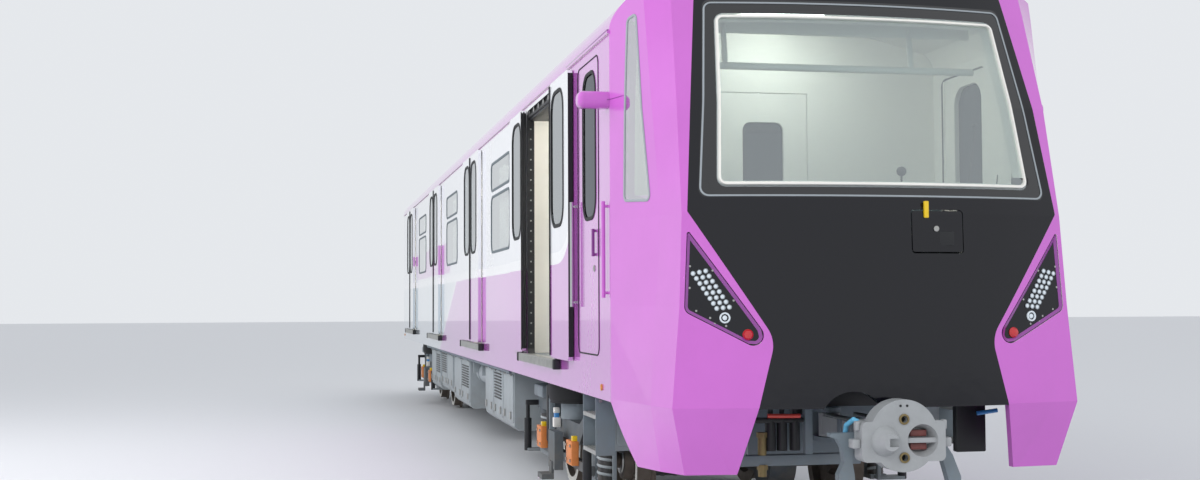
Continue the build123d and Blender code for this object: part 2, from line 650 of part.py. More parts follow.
def coupler_eye(pivot_y, bar_end, width):
    """A coupler's shank from its eye to the head."""
    y0, y1 = sorted((pivot_y, bar_end))
    bar = rod_z(0, pivot_y, COUPLER_Z - COUPLER_EYE_HEIGHT / 2, COUPLER_Z + COUPLER_EYE_HEIGHT / 2,
                COUPLER_EYE)
    bar += block(-width, width, y0, y1, COUPLER_Z - 55, COUPLER_Z + 55)
    return bar - rod_z(0, pivot_y, COUPLER_Z - 200, COUPLER_Z + 200, COUPLER_PIN + PIN_FIT)


def coupler_face():
    """The coupler head's front view: a plate with a round dome behind the cone and funnel."""
    plate = rounded(-HEAD_HALF_WIDTH, HEAD_HALF_WIDTH, HEAD_BASE, HEAD_SHOULDER, 30)
    return plate + Pos(0, HEAD_DOME_Z) * Circle(HEAD_DOME_RADIUS)


def front_coupler():
    """The automatic coupler: head, cone, funnel with its hook, air ports, brackets and shank."""
    head = along_y(coupler_face(), 0, HEAD_DEPTH)
    funnel = Pos(CONE_X, 40, COUPLER_Z) * Rot(90, 0, 0) * Cone(62, 88, 82)
    head -= funnel
    cone = Pos(-CONE_X, -CONE_REACH / 2, COUPLER_Z) * Rot(90, 0, 0) * Cone(82, 44, CONE_REACH)
    cone -= block(-CONE_X - 12, 0, -CONE_REACH - 5, -CONE_REACH + 45, COUPLER_Z - 22, COUPLER_Z + 22)
    head += cone
    head += block(CONE_X - 95, CONE_X + 95, 14, 34, COUPLER_Z - 13, COUPLER_Z + 13)
    for z in AIR_PORTS_Z:
        head -= rod_y(0, -10, AIR_PORT_DEPTH, z, AIR_PORT_RADIUS)
    head += block(-150, 150, HEAD_DEPTH - 5, 330, COUPLER_Z - 98, COUPLER_Z + 97)
    head += coupler_eye(COUPLER_PIVOT_Y, 300, 60)
    for arm in COUPLER_ARMS:
        head += along_y(outline([(x, COUPLER_Z + rise) for x, rise in arm]), 145, 205)
    return head


def rear_coupler():
    """The bar coupler at the gangway end, with its flange."""
    bar = coupler_eye(REAR_COUPLER_PIVOT_Y, COUPLED_LENGTH - 20, 60)
    flange = rod_y(0, COUPLED_LENGTH - 45, COUPLED_LENGTH, COUPLER_Z, 150)
    return bar + flange


def wheelset(y):
    """An axle with its two wheels, turned about one axis."""
    back, front = WHEEL_BACK, WHEEL_BACK + WHEEL_WIDTH
    rim = WHEEL_RADIUS - RIM_DEPTH
    web0 = back + 45
    web1 = web0 + WEB_THICK
    hub0, hub1 = back - 10, front + 25
    half = [(0, AXLE_RADIUS), (hub0, AXLE_RADIUS), (hub0, HUB_RADIUS), (web0, HUB_RADIUS + 20),
            (web0, rim - 20), (back, rim), (back, WHEEL_RADIUS + FLANGE_DROP),
            (back + FLANGE_WIDTH * 0.5, WHEEL_RADIUS + FLANGE_DROP), (back + FLANGE_WIDTH, WHEEL_RADIUS),
            (front, WHEEL_RADIUS - 4), (front, rim), (web1, rim - 20), (web1, HUB_RADIUS + 20),
            (hub1, HUB_RADIUS), (hub1, JOURNAL_RADIUS), (AXLE_END, JOURNAL_RADIUS)]
    points = [(-x, r) for x, r in reversed(half) if x] + half[1:]
    face = outline([(points[0][0], 0)] + points + [(points[-1][0], 0)])
    profile = Plane(origin=(0, y, WHEEL_RADIUS), x_dir=(1, 0, 0), z_dir=(0, -1, 0)) * face
    return revolve(profile, Axis((0, y, WHEEL_RADIUS), (1, 0, 0)))


def bogie_frame(y):
    """Side beams with dropped centres and spring cups, two transoms and the pivot block."""
    end, crest, knee, slope = (WHEELBASE / 2 + reach for reach in (355, -185, -485, -265))
    beam = outline([(-end, 655), (-end, 770), (-crest, 770), (-knee, 655), (knee, 655), (crest, 770),
                    (end, 770), (end, 655), (slope, 655), (knee, 500), (-knee, 500), (-slope, 655)], 45)
    x0 = FRAME_X - FRAME_WIDTH / 2
    side = Pos(0, y, 0) * along_x(beam, x0, x0 + FRAME_WIDTH)
    for spring_y in spring_places(y):
        side += rod_z(FRAME_X, spring_y, SPRING_CUP_Z, 665, SPRING_RADIUS + 14)
    frame = side + flipped(side)
    for sign in (-1, 1):
        centre = y + sign * TRANSOM_Y
        frame += block(-x0 - 20, x0 + 20, centre - TRANSOM_WIDTH / 2, centre + TRANSOM_WIDTH / 2, 510, 645)
    frame += block(-430, 430, y - TRANSOM_Y, y + TRANSOM_Y, 570, 690)
    return frame - rod_z(0, y, 500, 800, PIVOT_RADIUS + PIVOT_FIT)


def spring_places(y):
    """The y of each coil spring on one side of a bogie."""
    return [y + sign * WHEELBASE / 2 + offset for sign in (-1, 1) for offset in (-190, 190)]


def suspension(y):
    """Air springs on their pedestals, axleboxes on the journals and coil springs on their wings."""
    bag = rod_z(AIR_SPRING_X, y, 655, AIR_SPRING_BASE, AIR_SPRING_RADIUS - 85)
    bag += rod_z(AIR_SPRING_X, y, AIR_SPRING_BASE, PAD_Z - SEAT_GAP, AIR_SPRING_RADIUS)
    parts = [bag]
    x0, x1 = FRAME_X - 62, FRAME_X + 62
    for sign in (-1, 1):
        axle = y + sign * WHEELBASE / 2
        wing = outline([(axle - 255, SPRING_SEAT_Z - 34), (axle + 255, SPRING_SEAT_Z - 34),
                        (axle + 255, SPRING_SEAT_Z), (axle + 120, SPRING_SEAT_Z), (axle + 105, WHEEL_RADIUS),
                        (axle - 105, WHEEL_RADIUS), (axle - 120, SPRING_SEAT_Z), (axle - 255, SPRING_SEAT_Z)])
        box = rod_x(x0, x1, axle, WHEEL_RADIUS, 125) + along_x(wing, x0, x1)
        box -= rod_x(x0 - 5, x1 + 5, axle, WHEEL_RADIUS, JOURNAL_RADIUS + PIN_FIT)
        parts.append(box)
    parts += [rod_z(FRAME_X, spring_y, SPRING_SEAT_Z, SPRING_CUP_Z, SPRING_RADIUS)
              for spring_y in spring_places(y)]
    return [solid for part in parts for solid in both_sides(part)]


def traction_drive(y):
    """Two motors on the transoms, each with a gear case round its axle."""
    parts = []
    for sign in (-1, 1):
        motor_y, axle_y = y + sign * MOTOR_Y, y + sign * WHEELBASE / 2
        motor = rod_x(-600, 130, motor_y, MOTOR_Z, MOTOR_RADIUS)
        motor += rod_x(130, 200, motor_y, MOTOR_Z, 90)
        y0, y1 = sorted((y + sign * (TRANSOM_Y + TRANSOM_WIDTH / 2), motor_y))
        motor += block(-520, 60, y0, y1, 520, 600)
        case = rod_x(200, 400, axle_y, WHEEL_RADIUS, 235) + rod_x(200, 400, motor_y, MOTOR_Z, 170)
        c0, c1 = sorted((motor_y, axle_y))
        case += block(200, 400, c0, c1, 300, 590)
        case -= rod_x(150, 450, axle_y, WHEEL_RADIUS, AXLE_RADIUS + GEAR_CLEARANCE)
        parts.append(motor + case)
    return parts


def shoe_gear(y):
    """Current collector shoes on beams between the axleboxes."""
    x = FRAME_X + 62
    beam = block(x, x + 50, y - 1200, y + 1200, 330, 400)
    beam += block(x + 50, x + 120, y - 150, y + 150, 260, 560)
    beam += block(x + 120, x + 215, y - 110, y + 110, 185, 225)
    beam += block(x + 110, x + 130, y - 60, y + 60, 185, 320)
    beam -= both_journal_ends(y)
    return both_sides(beam)


def both_journal_ends(y):
    """Room for the two axle ends on the right side."""
    ends = None
    for sign in (-1, 1):
        end = rod_x(FRAME_X, AXLE_END + 12, y + sign * WHEELBASE / 2, WHEEL_RADIUS, JOURNAL_RADIUS + 10)
        ends = end if ends is None else ends + end
    return ends


def cab_steps():
    """Two cheek plates with two treads under the right cab door, hung from the side sill."""
    front, rear = CAB_DOOR_FRONT + 220, CAB_DOOR_REAR - 33
    steps = None
    for y0, y1 in ((front, front + 12), (rear - 12, rear)):
        cheek = block(STEP_X - 125, STEP_X, y0, y1, STEP_BASE, SKIRT_Z - 10)
        cheek += block(STEP_X - 125, STEP_X - 60, y0, y1, STEP_BASE, PAD_Z)
        steps = cheek if steps is None else steps + cheek
    for z in (STEP_BASE + 15, STEP_BASE + 245):
        steps += block(STEP_X - 120, STEP_X, front + 6, rear - 6, z - 12, z + 12)
    return steps


EQUIPMENT = (
    # front and rear end as shares of the bay between the bogies, depth under the beams
    (0, 0.244, 585),
    (0.415, 0.619, 625),
    (0.636, 0.813, 565),
    (0.830, 1, 605),
)
TANKS = (0.262, 0.398)      # shares of the same bay
TANK_RADIUS = 130


def equipment_cases():
    """Cases hung under the floor, with bevelled lower edges."""
    cases = []
    for front, rear, depth in EQUIPMENT:
        x0, x1, low = 480, HALF_WIDTH - 110, PAD_Z - depth
        section = outline([(x0, low), (x1 - 40, low), (x1, low + 40), (x1, PAD_Z), (x0, PAD_Z)])
        cases += both_sides(along_y(section, BAY_START + BAY_LENGTH * front, BAY_START + BAY_LENGTH * rear))
    front = BOGIE_FRONT_Y - FRONT_BOX_AHEAD
    return cases + both_sides(block(HALF_WIDTH - 500, HALF_WIDTH - 200, front, front + 290, STEP_BASE,
                                    FLOOR_Z - FLOOR_THICK))


def air_tanks():
    """An air tank on each side, with brackets up to the sills."""
    y0, y1 = [BAY_START + BAY_LENGTH * share for share in TANKS]
    x, z = HALF_WIDTH - 290, PAD_Z - 185
    tank = rod_y(x, y0, y1, z, TANK_RADIUS)
    for y in (y0 + 200, y1 - 200):
        tank += block(x - TANK_RADIUS, HALF_WIDTH - 105, y - 20, y + 20, z, PAD_Z)
    return both_sides(tank)


def roof_units():
    """Two low air conditioning units that sit on the roof's curve."""
    units = []
    for y0, y1 in ((BOGIE_FRONT_Y + 350, BOGIE_FRONT_Y + 3650), (BOGIE_REAR_Y - 3450, BOGIE_REAR_Y - 150)):
        section = outline([(-820, SHOULDER_Z), (-820, ROOF_TOP), (-700, HEIGHT), (700, HEIGHT), (820, ROOF_TOP),
                           (820, SHOULDER_Z)])
        units.append(along_y(section, y0, y1) - along_y(body_face(), y0 - 5, y1 + 5))
    return units


def bulkhead():
    """The wall behind the cab, with its doorway."""
    wall = along_y(body_face(SIDE_WALL + 0.5, FLOOR_Z), BULKHEAD_Y, BULKHEAD_Y + BULKHEAD_THICK)
    wall -= block(-BULKHEAD_OPENING, BULKHEAD_OPENING, BULKHEAD_Y - 5, BULKHEAD_Y + BULKHEAD_THICK + 5,
                  FLOOR_Z - 5, BULKHEAD_DOOR_TOP)
    return wall - bulkhead_pin(PIN_FIT)


def bulkhead_pin(grow=0):
    """The bulkhead door's upper hinge pin, or its bore."""
    y = BULKHEAD_Y + BULKHEAD_THICK - HINGE_PIN - 2
    return rod_z(-BULKHEAD_OPENING + 18, y, BULKHEAD_DOOR_TOP - 30, BULKHEAD_DOOR_TOP + 8 + grow * 5,
                 HINGE_PIN + grow)


def bulkhead_door():
    """The door between cab and saloon."""
    y1 = BULKHEAD_Y + BULKHEAD_THICK - 2
    door = block(-BULKHEAD_OPENING + 8, BULKHEAD_OPENING - 8, y1 - BULKHEAD_DOOR_THICK, y1,
                 FLOOR_Z + 8, BULKHEAD_DOOR_TOP - 8)
    door += bulkhead_pin()
    door -= along_y(rounded(-150, 150, 2150, 2850, 60), BULKHEAD_Y - 5, y1 + 5)
    return door


def driver_desk():
    """The cab's desk: a sloped console across the mask, with a raised instrument hood."""
    section = outline([(500, FLOOR_Z), (1000, FLOOR_Z), (1050, 1850), (1080, 1930), (880, 1990), (640, 2030),
                       (500, 1960)])
    return along_x(section, -880, 880)


def driver_seat():
    """The driver's seat on its pedestal."""
    seat = rod_z(0, 1660, FLOOR_Z, 1560, 60)
    seat += rod_z(0, 1660, FLOOR_Z, FLOOR_Z + 25, 190)
    profile = outline([(1430, 1560), (1430, 1640), (1820, 1640), (1860, 2280), (1940, 2280), (1920, 1560)], 25)
    return seat + along_x(profile, -240, 240)


def benches():
    """Long benches between the doorways and behind the last one, with screens at their ends."""
    back, z = HALF_WIDTH - SIDE_WALL - 1, FLOOR_Z
    profile = outline([(back - 189, z), (back, z), (back, z + 895), (back - 74, z + 895), (back - 119, z + 475),
                       (back - 489, z + 455), (back - 499, z + 385), (back - 229, z + 335)])
    spans = [(a + BENCH_CLEAR, b - BENCH_CLEAR) for a, b in zip(DOOR_CENTRES, DOOR_CENTRES[1:])]
    spans.append((DOOR_CENTRES[-1] + BENCH_CLEAR, END_WALL_Y - 20))
    parts = [along_y(profile, y0, y1) for y0, y1 in spans]
    ends = [a + BENCH_CLEAR - SCREEN_THICK - SEAM_GAP for a in DOOR_CENTRES]
    ends += [b - BENCH_CLEAR + SEAM_GAP for b in DOOR_CENTRES[1:]]
    parts += [block(back - 489, back, y, y + SCREEN_THICK, z, SCREEN_TOP) for y in ends]
    return [solid for part in parts for solid in both_sides(part)]


def grab_rails():
    """Poles beside the doorways and the rails that join them under the ceiling."""
    stations = [centre + way * POLE_OFF_DOOR for centre in DOOR_CENTRES for way in (-1, 1)]
    bars = [rod_z(POLE_X, y, FLOOR_Z, POLE_TOP, RAIL_POLE) for y in stations]
    reach = RAIL_POLE + SEAM_GAP
    bars += [rod_y(POLE_X, a + reach, b - reach, CEILING_RAIL_Z, RAIL_POLE - 1)
             for a, b in zip(stations, stations[1:])]
    return [solid for bar in bars for solid in both_sides(bar)]


def export(name, *shapes):
    """Write one sub-part's solids, moved to the row's frame."""
    solids = []
    for shape in shapes:
        items = shape if isinstance(shape, (list, tuple)) else [shape]
        for item in items:
            solids += item.solids()
    export_step(PLACE * Compound(children=[Solid(solid.wrapped) for solid in solids]), f"parts/{name}.step")


def main():
    """Build and write every sub-part."""
    os.makedirs("parts", exist_ok=True)
    wall = side_wall()
    export("side_wall_right", wall)
    export("side_wall_left", flipped(wall))
    export("roof_shell", roof_shell())
    export("rear_end_wall", end_wall())
    export("gangway_bellows", gangway())
    export("underframe", underframe())
    export("saloon_glass", *[both_sides(pane) for pane in saloon_glass()])
    mask, panel, windscreen, side_panes, lamps, flap = mask_parts()
    export("cab_mask", mask)
    export("front_panel", panel)
    export("windscreen", windscreen)
    export("cab_side_glass", side_panes)
    export("lamp_clusters", both_sides(lamps))
    export("front_flap", flap)
    export("camera_pods", both_sides(camera_pod()))
    export("cab_handrails", *[both_sides(rail) for rail in handrails()])
    export("cab_steps", both_sides(cab_steps()))
    export("door_sills", *[both_sides(sill(centre)) for centre in DOOR_CENTRES])
    export("door_headers", *[both_sides(door_header(centre)) for centre in DOOR_CENTRES])
    export("cab_bulkhead", bulkhead())
    export("bulkhead_door", bulkhead_door())
    export("driver_desk", driver_desk())
    export("driver_seat", driver_seat())
    export("saloon_benches", benches())
    export("grab_rails", grab_rails())
    export("roof_units", roof_units())
    export("equipment_cases", equipment_cases())
    export("air_tanks", air_tanks())
    export("coupler_carriers", coupler_carrier(COUPLER_PIVOT_Y, -1),
           coupler_carrier(REAR_COUPLER_PIVOT_Y, 1))
    export("front_coupler", front_coupler())
    export("rear_coupler", rear_coupler())
    door = cab_door()
    export("cab_door_right", door)
    export("cab_door_left", [flipped(piece) for piece in door])
    for name, y in BOGIE_PLACES:
        export(f"bogie_frame_{name}", bogie_frame(y))
        export(f"suspension_{name}", suspension(y))
        export(f"traction_drive_{name}", traction_drive(y))
        export(f"shoe_gear_{name}", shoe_gear(y))
        for end, sign in (("leading", -1), ("trailing", 1)):
            export(f"wheelset_{name}_{end}", wheelset(y + sign * WHEELBASE / 2))
    for number, centre in enumerate(DOOR_CENTRES, 1):
        for half, way in (("front", -1), ("rear", 1)):
            pieces = leaf(centre, way)
            for side, sign in SIDES:
                placed = [flipped(piece) if sign < 0 else piece for piece in pieces]
                if side == "left" and number == 1:
                    placed = [Pos(0, way * LEAF_TRAVEL, 0) * piece for piece in placed]
                export(f"leaf_{side}_{number}_{half}", placed)


main()
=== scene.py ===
"""Finishes, fittings and small parts of a metro head car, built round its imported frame.

The car stands on its wheel flanges, with its cab towards -Y. Sizes are in metres, unless a
name ends in _MM. car() turns a place measured from the front coupling plane and the rail top
into the frame's own coordinates.
"""
from __future__ import annotations

import logging
import math
from dataclasses import dataclass, replace
from enum import Enum
from typing import Callable, Iterable, Iterator, Sequence

import bmesh
import bpy
from bmesh import ops
from mathutils import Matrix, Vector
from mathutils.bvhtree import BVHTree


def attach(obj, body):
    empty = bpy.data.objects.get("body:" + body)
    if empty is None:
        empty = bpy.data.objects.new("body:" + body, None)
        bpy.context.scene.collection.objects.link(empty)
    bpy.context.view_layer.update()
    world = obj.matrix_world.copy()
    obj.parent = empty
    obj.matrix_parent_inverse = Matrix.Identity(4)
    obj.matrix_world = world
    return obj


LOG = logging.getLogger("head_car")
MM = 0.001
COUPLING_PLANE_Y = -10.0125  # the front coupling plane in the frame
RAIL_TOP_Z = 0.030  # the flanges reach this far below the rail top
FRONT = -1
REAR = 1
SIDES = (("left", -1), ("right", 1))
BOGIES = (("front", 4.25), ("rear", 16.85))
AXLES = (("leading", FRONT), ("trailing", REAR))
DOOR_CENTRES = tuple(3.92 + 4.6 * i for i in range(4))
WINDOW_CENTRES = tuple(centre + 2.4 for centre in DOOR_CENTRES[:-1])
HALF_WIDTH = 1.35
DUST_CLOUD_MM = 1000 / 9  # size of the patches in which dust lies
DUST_ROUGHNESS = 0.9
SHARP_ANGLE = math.radians(35)  # edges sharper than this stay sharp
CORNER_STEPS = 6

Chooser = Callable[[Vector, Vector], int]
Point = Sequence[float]
Pair = tuple[float, float]
Tree, Node, Socket = bpy.types.NodeTree, bpy.types.Node, bpy.types.NodeSocket
Vert, Edge, Face = bmesh.types.BMVert, bmesh.types.BMEdge, bmesh.types.BMFace


def car(x: float, y: float, z: float) -> Vector:
    """A place measured from the coupling plane and the rail top, in the frame's coordinates."""
    return Vector((x, y + COUPLING_PLANE_Y, z + RAIL_TOP_Z))


def spot(point: Point) -> Vector:
    """A point in the frame's coordinates. A tuple is measured on the car, a Vector is in them already."""
    return point if isinstance(point, Vector) else car(*point)


def linear(code: str) -> tuple[float, float, float, float]:
    """Turn an sRGB hex colour into linear values.

    Args:
        code: Six hex digits with a leading #.

    Returns:
        Red, green, blue and 1.
    """
    digits = code.lstrip("#")
    channels = [int(digits[i:i + 2], 16) / 255 for i in (0, 2, 4)]
    return (*[c / 12.92 if c <= 0.04045 else ((c + 0.055) / 1.055) ** 2.4 for c in channels], 1.0)


def add(tree: Tree, kind: str, inputs: dict | Sequence = (), **settings: object) -> Node:
    """Add a node with its settings and links.

    Args:
        tree: The material's or the world's node tree.
        kind: The node's type, without the ShaderNode in front.
        inputs: Values, nodes or output sockets for its inputs, by name or in order.
        **settings: The node's own settings.

    Returns:
        The new node.
    """
    node = tree.nodes.new(f"ShaderNode{kind}")
    for name, value in settings.items():
        setattr(node, name, value)
    pairs = inputs.items() if isinstance(inputs, dict) else enumerate(inputs)
    for key, value in pairs:
        if isinstance(value, Node):
            value = value.outputs[0]
        if isinstance(value, Socket):
            tree.links.new(value, node.inputs[key])
        elif value is not None:
            node.inputs[key].default_value = value
    return node


def show(piece: bpy.types.Object) -> None:
    """Put an object in the scene."""
    bpy.context.scene.collection.objects.link(piece)


# Finishes


@dataclass(frozen=True)
class Finish:
    """A surface with a little colour drift, fine bump and, low on the car, road dust."""

    name: str
    colour: str
    roughness: float = 0.5
    metallic: float = 0.0
    coat: float = 0.0
    drift: float = 0.06  # how far the colour drifts, as a share
    drift_mm: float = 400.0
    grain_mm: float = 3.0  # size of the surface's fine relief
    relief_mm: float = 0.02  # its depth
    dust: float = 0.0  # most dust that lies on it, low down
    dust_top: float = 1.1  # height where the dust ends
    dust_colour: str = "#7d7266"

    def build(self) -> bpy.types.Material:
        """Make the material, once.

        Returns:
            The material, the same one at every call.
        """
        known = bpy.data.materials.get(self.name)
        if known:
            return known
        material = bpy.data.materials.new(self.name)
        material.use_nodes = True
        tree = material.node_tree
        tree.nodes.clear()
        place = add(tree, "TexCoord").outputs["Object"]
        shader = self.shade(tree, place)
        add(tree, "OutputMaterial", {"Surface": shader})
        return material

    def base(self, tree: Tree, place: Socket) -> Socket | tuple:
        """The clean colour, before drift and dust."""
        return linear(self.colour)

    def dusted(self, tree: Tree, place: Socket, clean: Socket) -> tuple[Socket, Socket]:
        """Lay road dust over a colour, thickest at the rail.

        Args:
            tree: The material's node tree.
            place: Object coordinates.
            clean: The colour under the dust.

        Returns:
            The dusted colour and its roughness.
        """
        height = add(tree, "SeparateXYZ", [place]).outputs["Z"]
        fall = add(tree, "MapRange", [height, 0.0, self.dust_top, self.dust, 0.0])
        speck = add(tree, "TexNoise", {
            "Vector": place, "Scale": 1 / (DUST_CLOUD_MM * MM), "Detail": 6.0, "Roughness": 0.7})
        share = add(tree, "MapRange", [speck.outputs[0], 0.35, 0.7, 0.35, 1.25])
        amount = add(tree, "Math", [fall, share], operation="MULTIPLY", use_clamp=True)
        mixed = add(tree, "Mix", {0: amount, 6: clean, 7: linear(self.dust_colour)}, data_type="RGBA")
        rough = add(tree, "MapRange", [amount, 0.0, 1.0, self.roughness, DUST_ROUGHNESS])
        return mixed.outputs[2], rough.outputs[0]

    def shade(self, tree: Tree, place: Socket) -> Node:
        """Build the shader from the clean colour, the drift, the dust and the relief.

        Args:
            tree: The material's node tree.
            place: Object coordinates.

        Returns:
            The shader's node.
        """
        clean = self.base(tree, place)
        cloud = add(tree, "TexNoise", {
            "Vector": place, "Scale": 1 / (self.drift_mm * MM), "Detail": 4.0, "Roughness": 0.6})
        lift = add(tree, "MapRange", [cloud.outputs[0], 0.3, 0.7, 1 - self.drift, 1 + self.drift])
        tone = add(tree, "HueSaturation", {"Value": lift, "Color": clean})
        colour, rough = tone.outputs[0], self.roughness
        if self.dust:
            colour, rough = self.dusted(tree, place, colour)
        inputs = {"Base Color": colour, "Roughness": rough, "Metallic": self.metallic,
                  "Coat Weight": self.coat, "Coat Roughness": 0.04}
        if self.relief_mm:
            fine = add(tree, "TexNoise", {
                "Vector": place, "Scale": 1 / (self.grain_mm * MM), "Detail": 3.0})
            inputs["Normal"] = add(tree, "Bump", {
                "Height": fine.outputs[0], "Strength": 1.0, "Distance": self.relief_mm * MM})
        return add(tree, "BsdfPrincipled", inputs)


@dataclass(frozen=True)
class Livery(Finish):
    """Body side paint: an orchid cab end, grey behind it, a pale side, stripes and a raised band."""

    lower: str = "#ccd5dc"
    stripe: str = "#f6f5f8"
    accent: str = "#c468c8"
    stripe_z: float = 1.86
    stripe_wide: float = 0.085
    sweep_y: float = 3.70  # where the stripe starts to sweep up towards the cab
    sweep: float = 0.89
    slant_y: float = 10.9  # the orchid field's slanted rear edge is here at slant_z
    slant_z: float = 1.64
    slant_run: float = 2.55  # how far back it runs per metre down
    slant_rim: float = 0.12  # the stripe along it
    band_ends: Pair = (11.2, 16.6)  # the raised band's slanted ends at band_z
    band_z: float = 2.0
    band_top: float = 2.38
    band_run: float = 1.6
    band_gap: float = 0.04
    shift: float = 0.0  # how far an open leaf stands from its closed place
    cantrail_z: float = 3.21

    def field(self, tree: Tree, y: Socket, z: Socket, edges: Iterable[tuple[float, float, float]]) -> Node:
        """A mask that is 1 where a*y + b*z + c is above 0 for every edge.

        Args:
            tree: The material's node tree.
            y: Distance behind the coupling plane.
            z: Height over the rail.
            edges: The factors a, b and c of each straight edge.

        Returns:
            The node that gives the mask.
        """
        worst = None
        for a, b, c in edges:
            part = add(tree, "Math", [y, a, c], operation="MULTIPLY_ADD")
            edge = add(tree, "Math", [z, b, part], operation="MULTIPLY_ADD")
            worst = edge if worst is None else add(tree, "Math", [worst, edge], operation="MINIMUM")
        return add(tree, "Math", [worst, 0.0], operation="GREATER_THAN")

    def fields(self) -> tuple[tuple[str, list[tuple[float, float, float]]], ...]:
        """Each field's colour and straight edges, in the order in which they are painted.

        Returns:
            For each field its colour and edges a, b, c; it is painted where a*y + b*z + c > 0.
        """
        top = self.stripe_z + self.stripe_wide
        below = (0, -1, self.stripe_z)
        foot = self.slant_y + self.slant_run * self.slant_z
        lean = self.band_run * self.band_z
        start, end = self.band_ends
        return (
            (self.lower, [below]),
            (self.stripe, [below, (-1, -self.slant_run, foot + self.slant_rim), (1, self.slant_run, -foot)]),
            (self.accent, [below, (-1, -self.slant_run, foot)]),
            (self.accent, [(0, 1, -top - self.band_gap), (0, -1, self.band_top),
                           (1, self.band_run, -start - lean), (-1, self.band_run, end - lean)]),
            (self.stripe, [(0, 1, -self.stripe_z), (0, -1, top)]), )

    def base(self, tree: Tree, place: Socket) -> Socket | tuple:
        """Paint the fields one over the other, from the pale side to the stripe.

        Args:
            tree: The material's node tree.
            place: Object coordinates.

        Returns:
            The socket that gives the colour.
        """
        split = add(tree, "SeparateXYZ", [place])
        y = add(tree, "Math", [split.outputs["Y"], -COUPLING_PLANE_Y - self.shift], operation="ADD")
        height = add(tree, "Math", [split.outputs["Z"], -RAIL_TOP_Z], operation="ADD")
        ahead = add(tree, "Math", [self.sweep_y, y], operation="SUBTRACT")
        ahead = add(tree, "Math", [ahead, 0.0], operation="MAXIMUM")
        rise = add(tree, "Math", [ahead, 3.0], operation="POWER")
        z = add(tree, "Math", [rise, -self.sweep, height], operation="MULTIPLY_ADD")
        painted = [(code, self.field(tree, y, z, edges)) for code, edges in self.fields()]
        cantrail = add(tree, "Math", [height, self.cantrail_z], operation="GREATER_THAN")
        colour = linear(self.colour)
        for code, mask in (*painted, (self.accent, cantrail)):
            colour = add(tree, "Mix", {0: mask, 6: colour, 7: linear(code)}, data_type="RGBA").outputs[2]
        return colour


@dataclass(frozen=True)
class Glazing(Finish):
    """Flat toughened glass with a faint tint, and a black printed border if asked for."""

    tint: str = "#dfe9e6"  # the colour of what is seen through it
    veil: float = 0.04  # the least share that mirrors
    index: float = 1.7  # above plain glass, for the sheet's two faces
    ripple_mm: float = 625.0  # length and depth of the waves in what it mirrors
    ripple_deep_mm: float = 4.0
    print_colour: str = "#0c0c0f"
    # The clear field's top, its half width there, its base, its half width there and its corner radius.
    border: tuple[float, ...] = ()

    def clear_share(self, tree: Tree, place: Socket) -> Node:
        """A mask that is 1 inside the tapered field with round corners, and 0 on the border.

        Args:
            tree: The material's node tree.
            place: Object coordinates.

        Returns:
            The node that gives the mask.
        """
        top, half_top, low, half_low, radius = self.border
        split = add(tree, "SeparateXYZ", [place])
        slope = (half_top - half_low) / (top - low)
        half = add(tree, "Math", [split.outputs["Z"], slope, half_low - slope * low - radius],
                   operation="MULTIPLY_ADD")
        side = add(tree, "Math", [split.outputs["X"]], operation="ABSOLUTE")
        mid = add(tree, "Math", [split.outputs["Z"], (top + low) / 2], operation="SUBTRACT")
        mid = add(tree, "Math", [mid], operation="ABSOLUTE")
        over = [add(tree, "Math", pair, operation="SUBTRACT")
                for pair in ([side, half], [mid, (top - low) / 2 - radius])]
        over = [add(tree, "Math", [part, 0.0], operation="MAXIMUM") for part in over]
        corner = add(tree, "CombineXYZ", [*over, 0.0])
        reach = add(tree, "VectorMath", [corner], operation="LENGTH").outputs["Value"]
        return add(tree, "Math", [reach, radius], operation="LESS_THAN")

    def shade(self, tree: Tree, place: Socket) -> Node:
        """A thin sheet: see-through, with a mirror on the face where light enters.

        Args:
            tree: The material's node tree.
            place: Object coordinates.

        Returns:
            The shader's node.
        """
        wave = add(tree, "TexNoise", {"Vector": place, "Scale": 1 / (self.ripple_mm * MM), "Detail": 1.0})
        normal = add(tree, "Bump", {
            "Height": wave.outputs[0], "Strength": 0.10, "Distance": self.ripple_deep_mm * MM})
        mirror = add(tree, "BsdfPrincipled", {
            "Base Color": linear(self.colour), "Roughness": 0.03, "Metallic": 1.0, "Normal": normal})
        clear = add(tree, "BsdfTransparent", {"Color": linear(self.tint)})
        face = add(tree, "Fresnel", {"IOR": self.index, "Normal": normal})
        share = add(tree, "Math", [face, 1 - self.veil, self.veil], operation="MULTIPLY_ADD",
                    use_clamp=True)
        inner = add(tree, "NewGeometry").outputs["Backfacing"]
        outer = add(tree, "Math", [1.0, inner], operation="SUBTRACT")
        share = add(tree, "Math", [share, outer], operation="MULTIPLY")
        glass = add(tree, "MixShader", [share, clear, mirror])
        if not self.border:
            return glass
        print_coat = add(tree, "BsdfPrincipled", {
            "Base Color": linear(self.print_colour), "Roughness": 0.08, "Coat Weight": 1.0})
        return add(tree, "MixShader", [self.clear_share(tree, place), print_coat, glass])


@dataclass(frozen=True)
class Weave(Finish):
    """Woven seat cloth with a crossing thread pattern."""

    second: str = "#6e86b8"
    thread_mm: float = 6.0  # drawn coarser than the real 1.5 mm thread, so that it shows

    def base(self, tree: Tree, place: Socket) -> Socket | tuple:
        """Two thread colours that cross.

        Args:
            tree: The material's node tree.
            place: Object coordinates.

        Returns:
            The socket that gives the colour.
        """
        checks = add(tree, "TexChecker", {
            "Vector": place, "Scale": 1 / (self.thread_mm * MM),
            "Color1": linear(self.colour), "Color2": linear(self.second)})
        return checks.outputs["Color"]


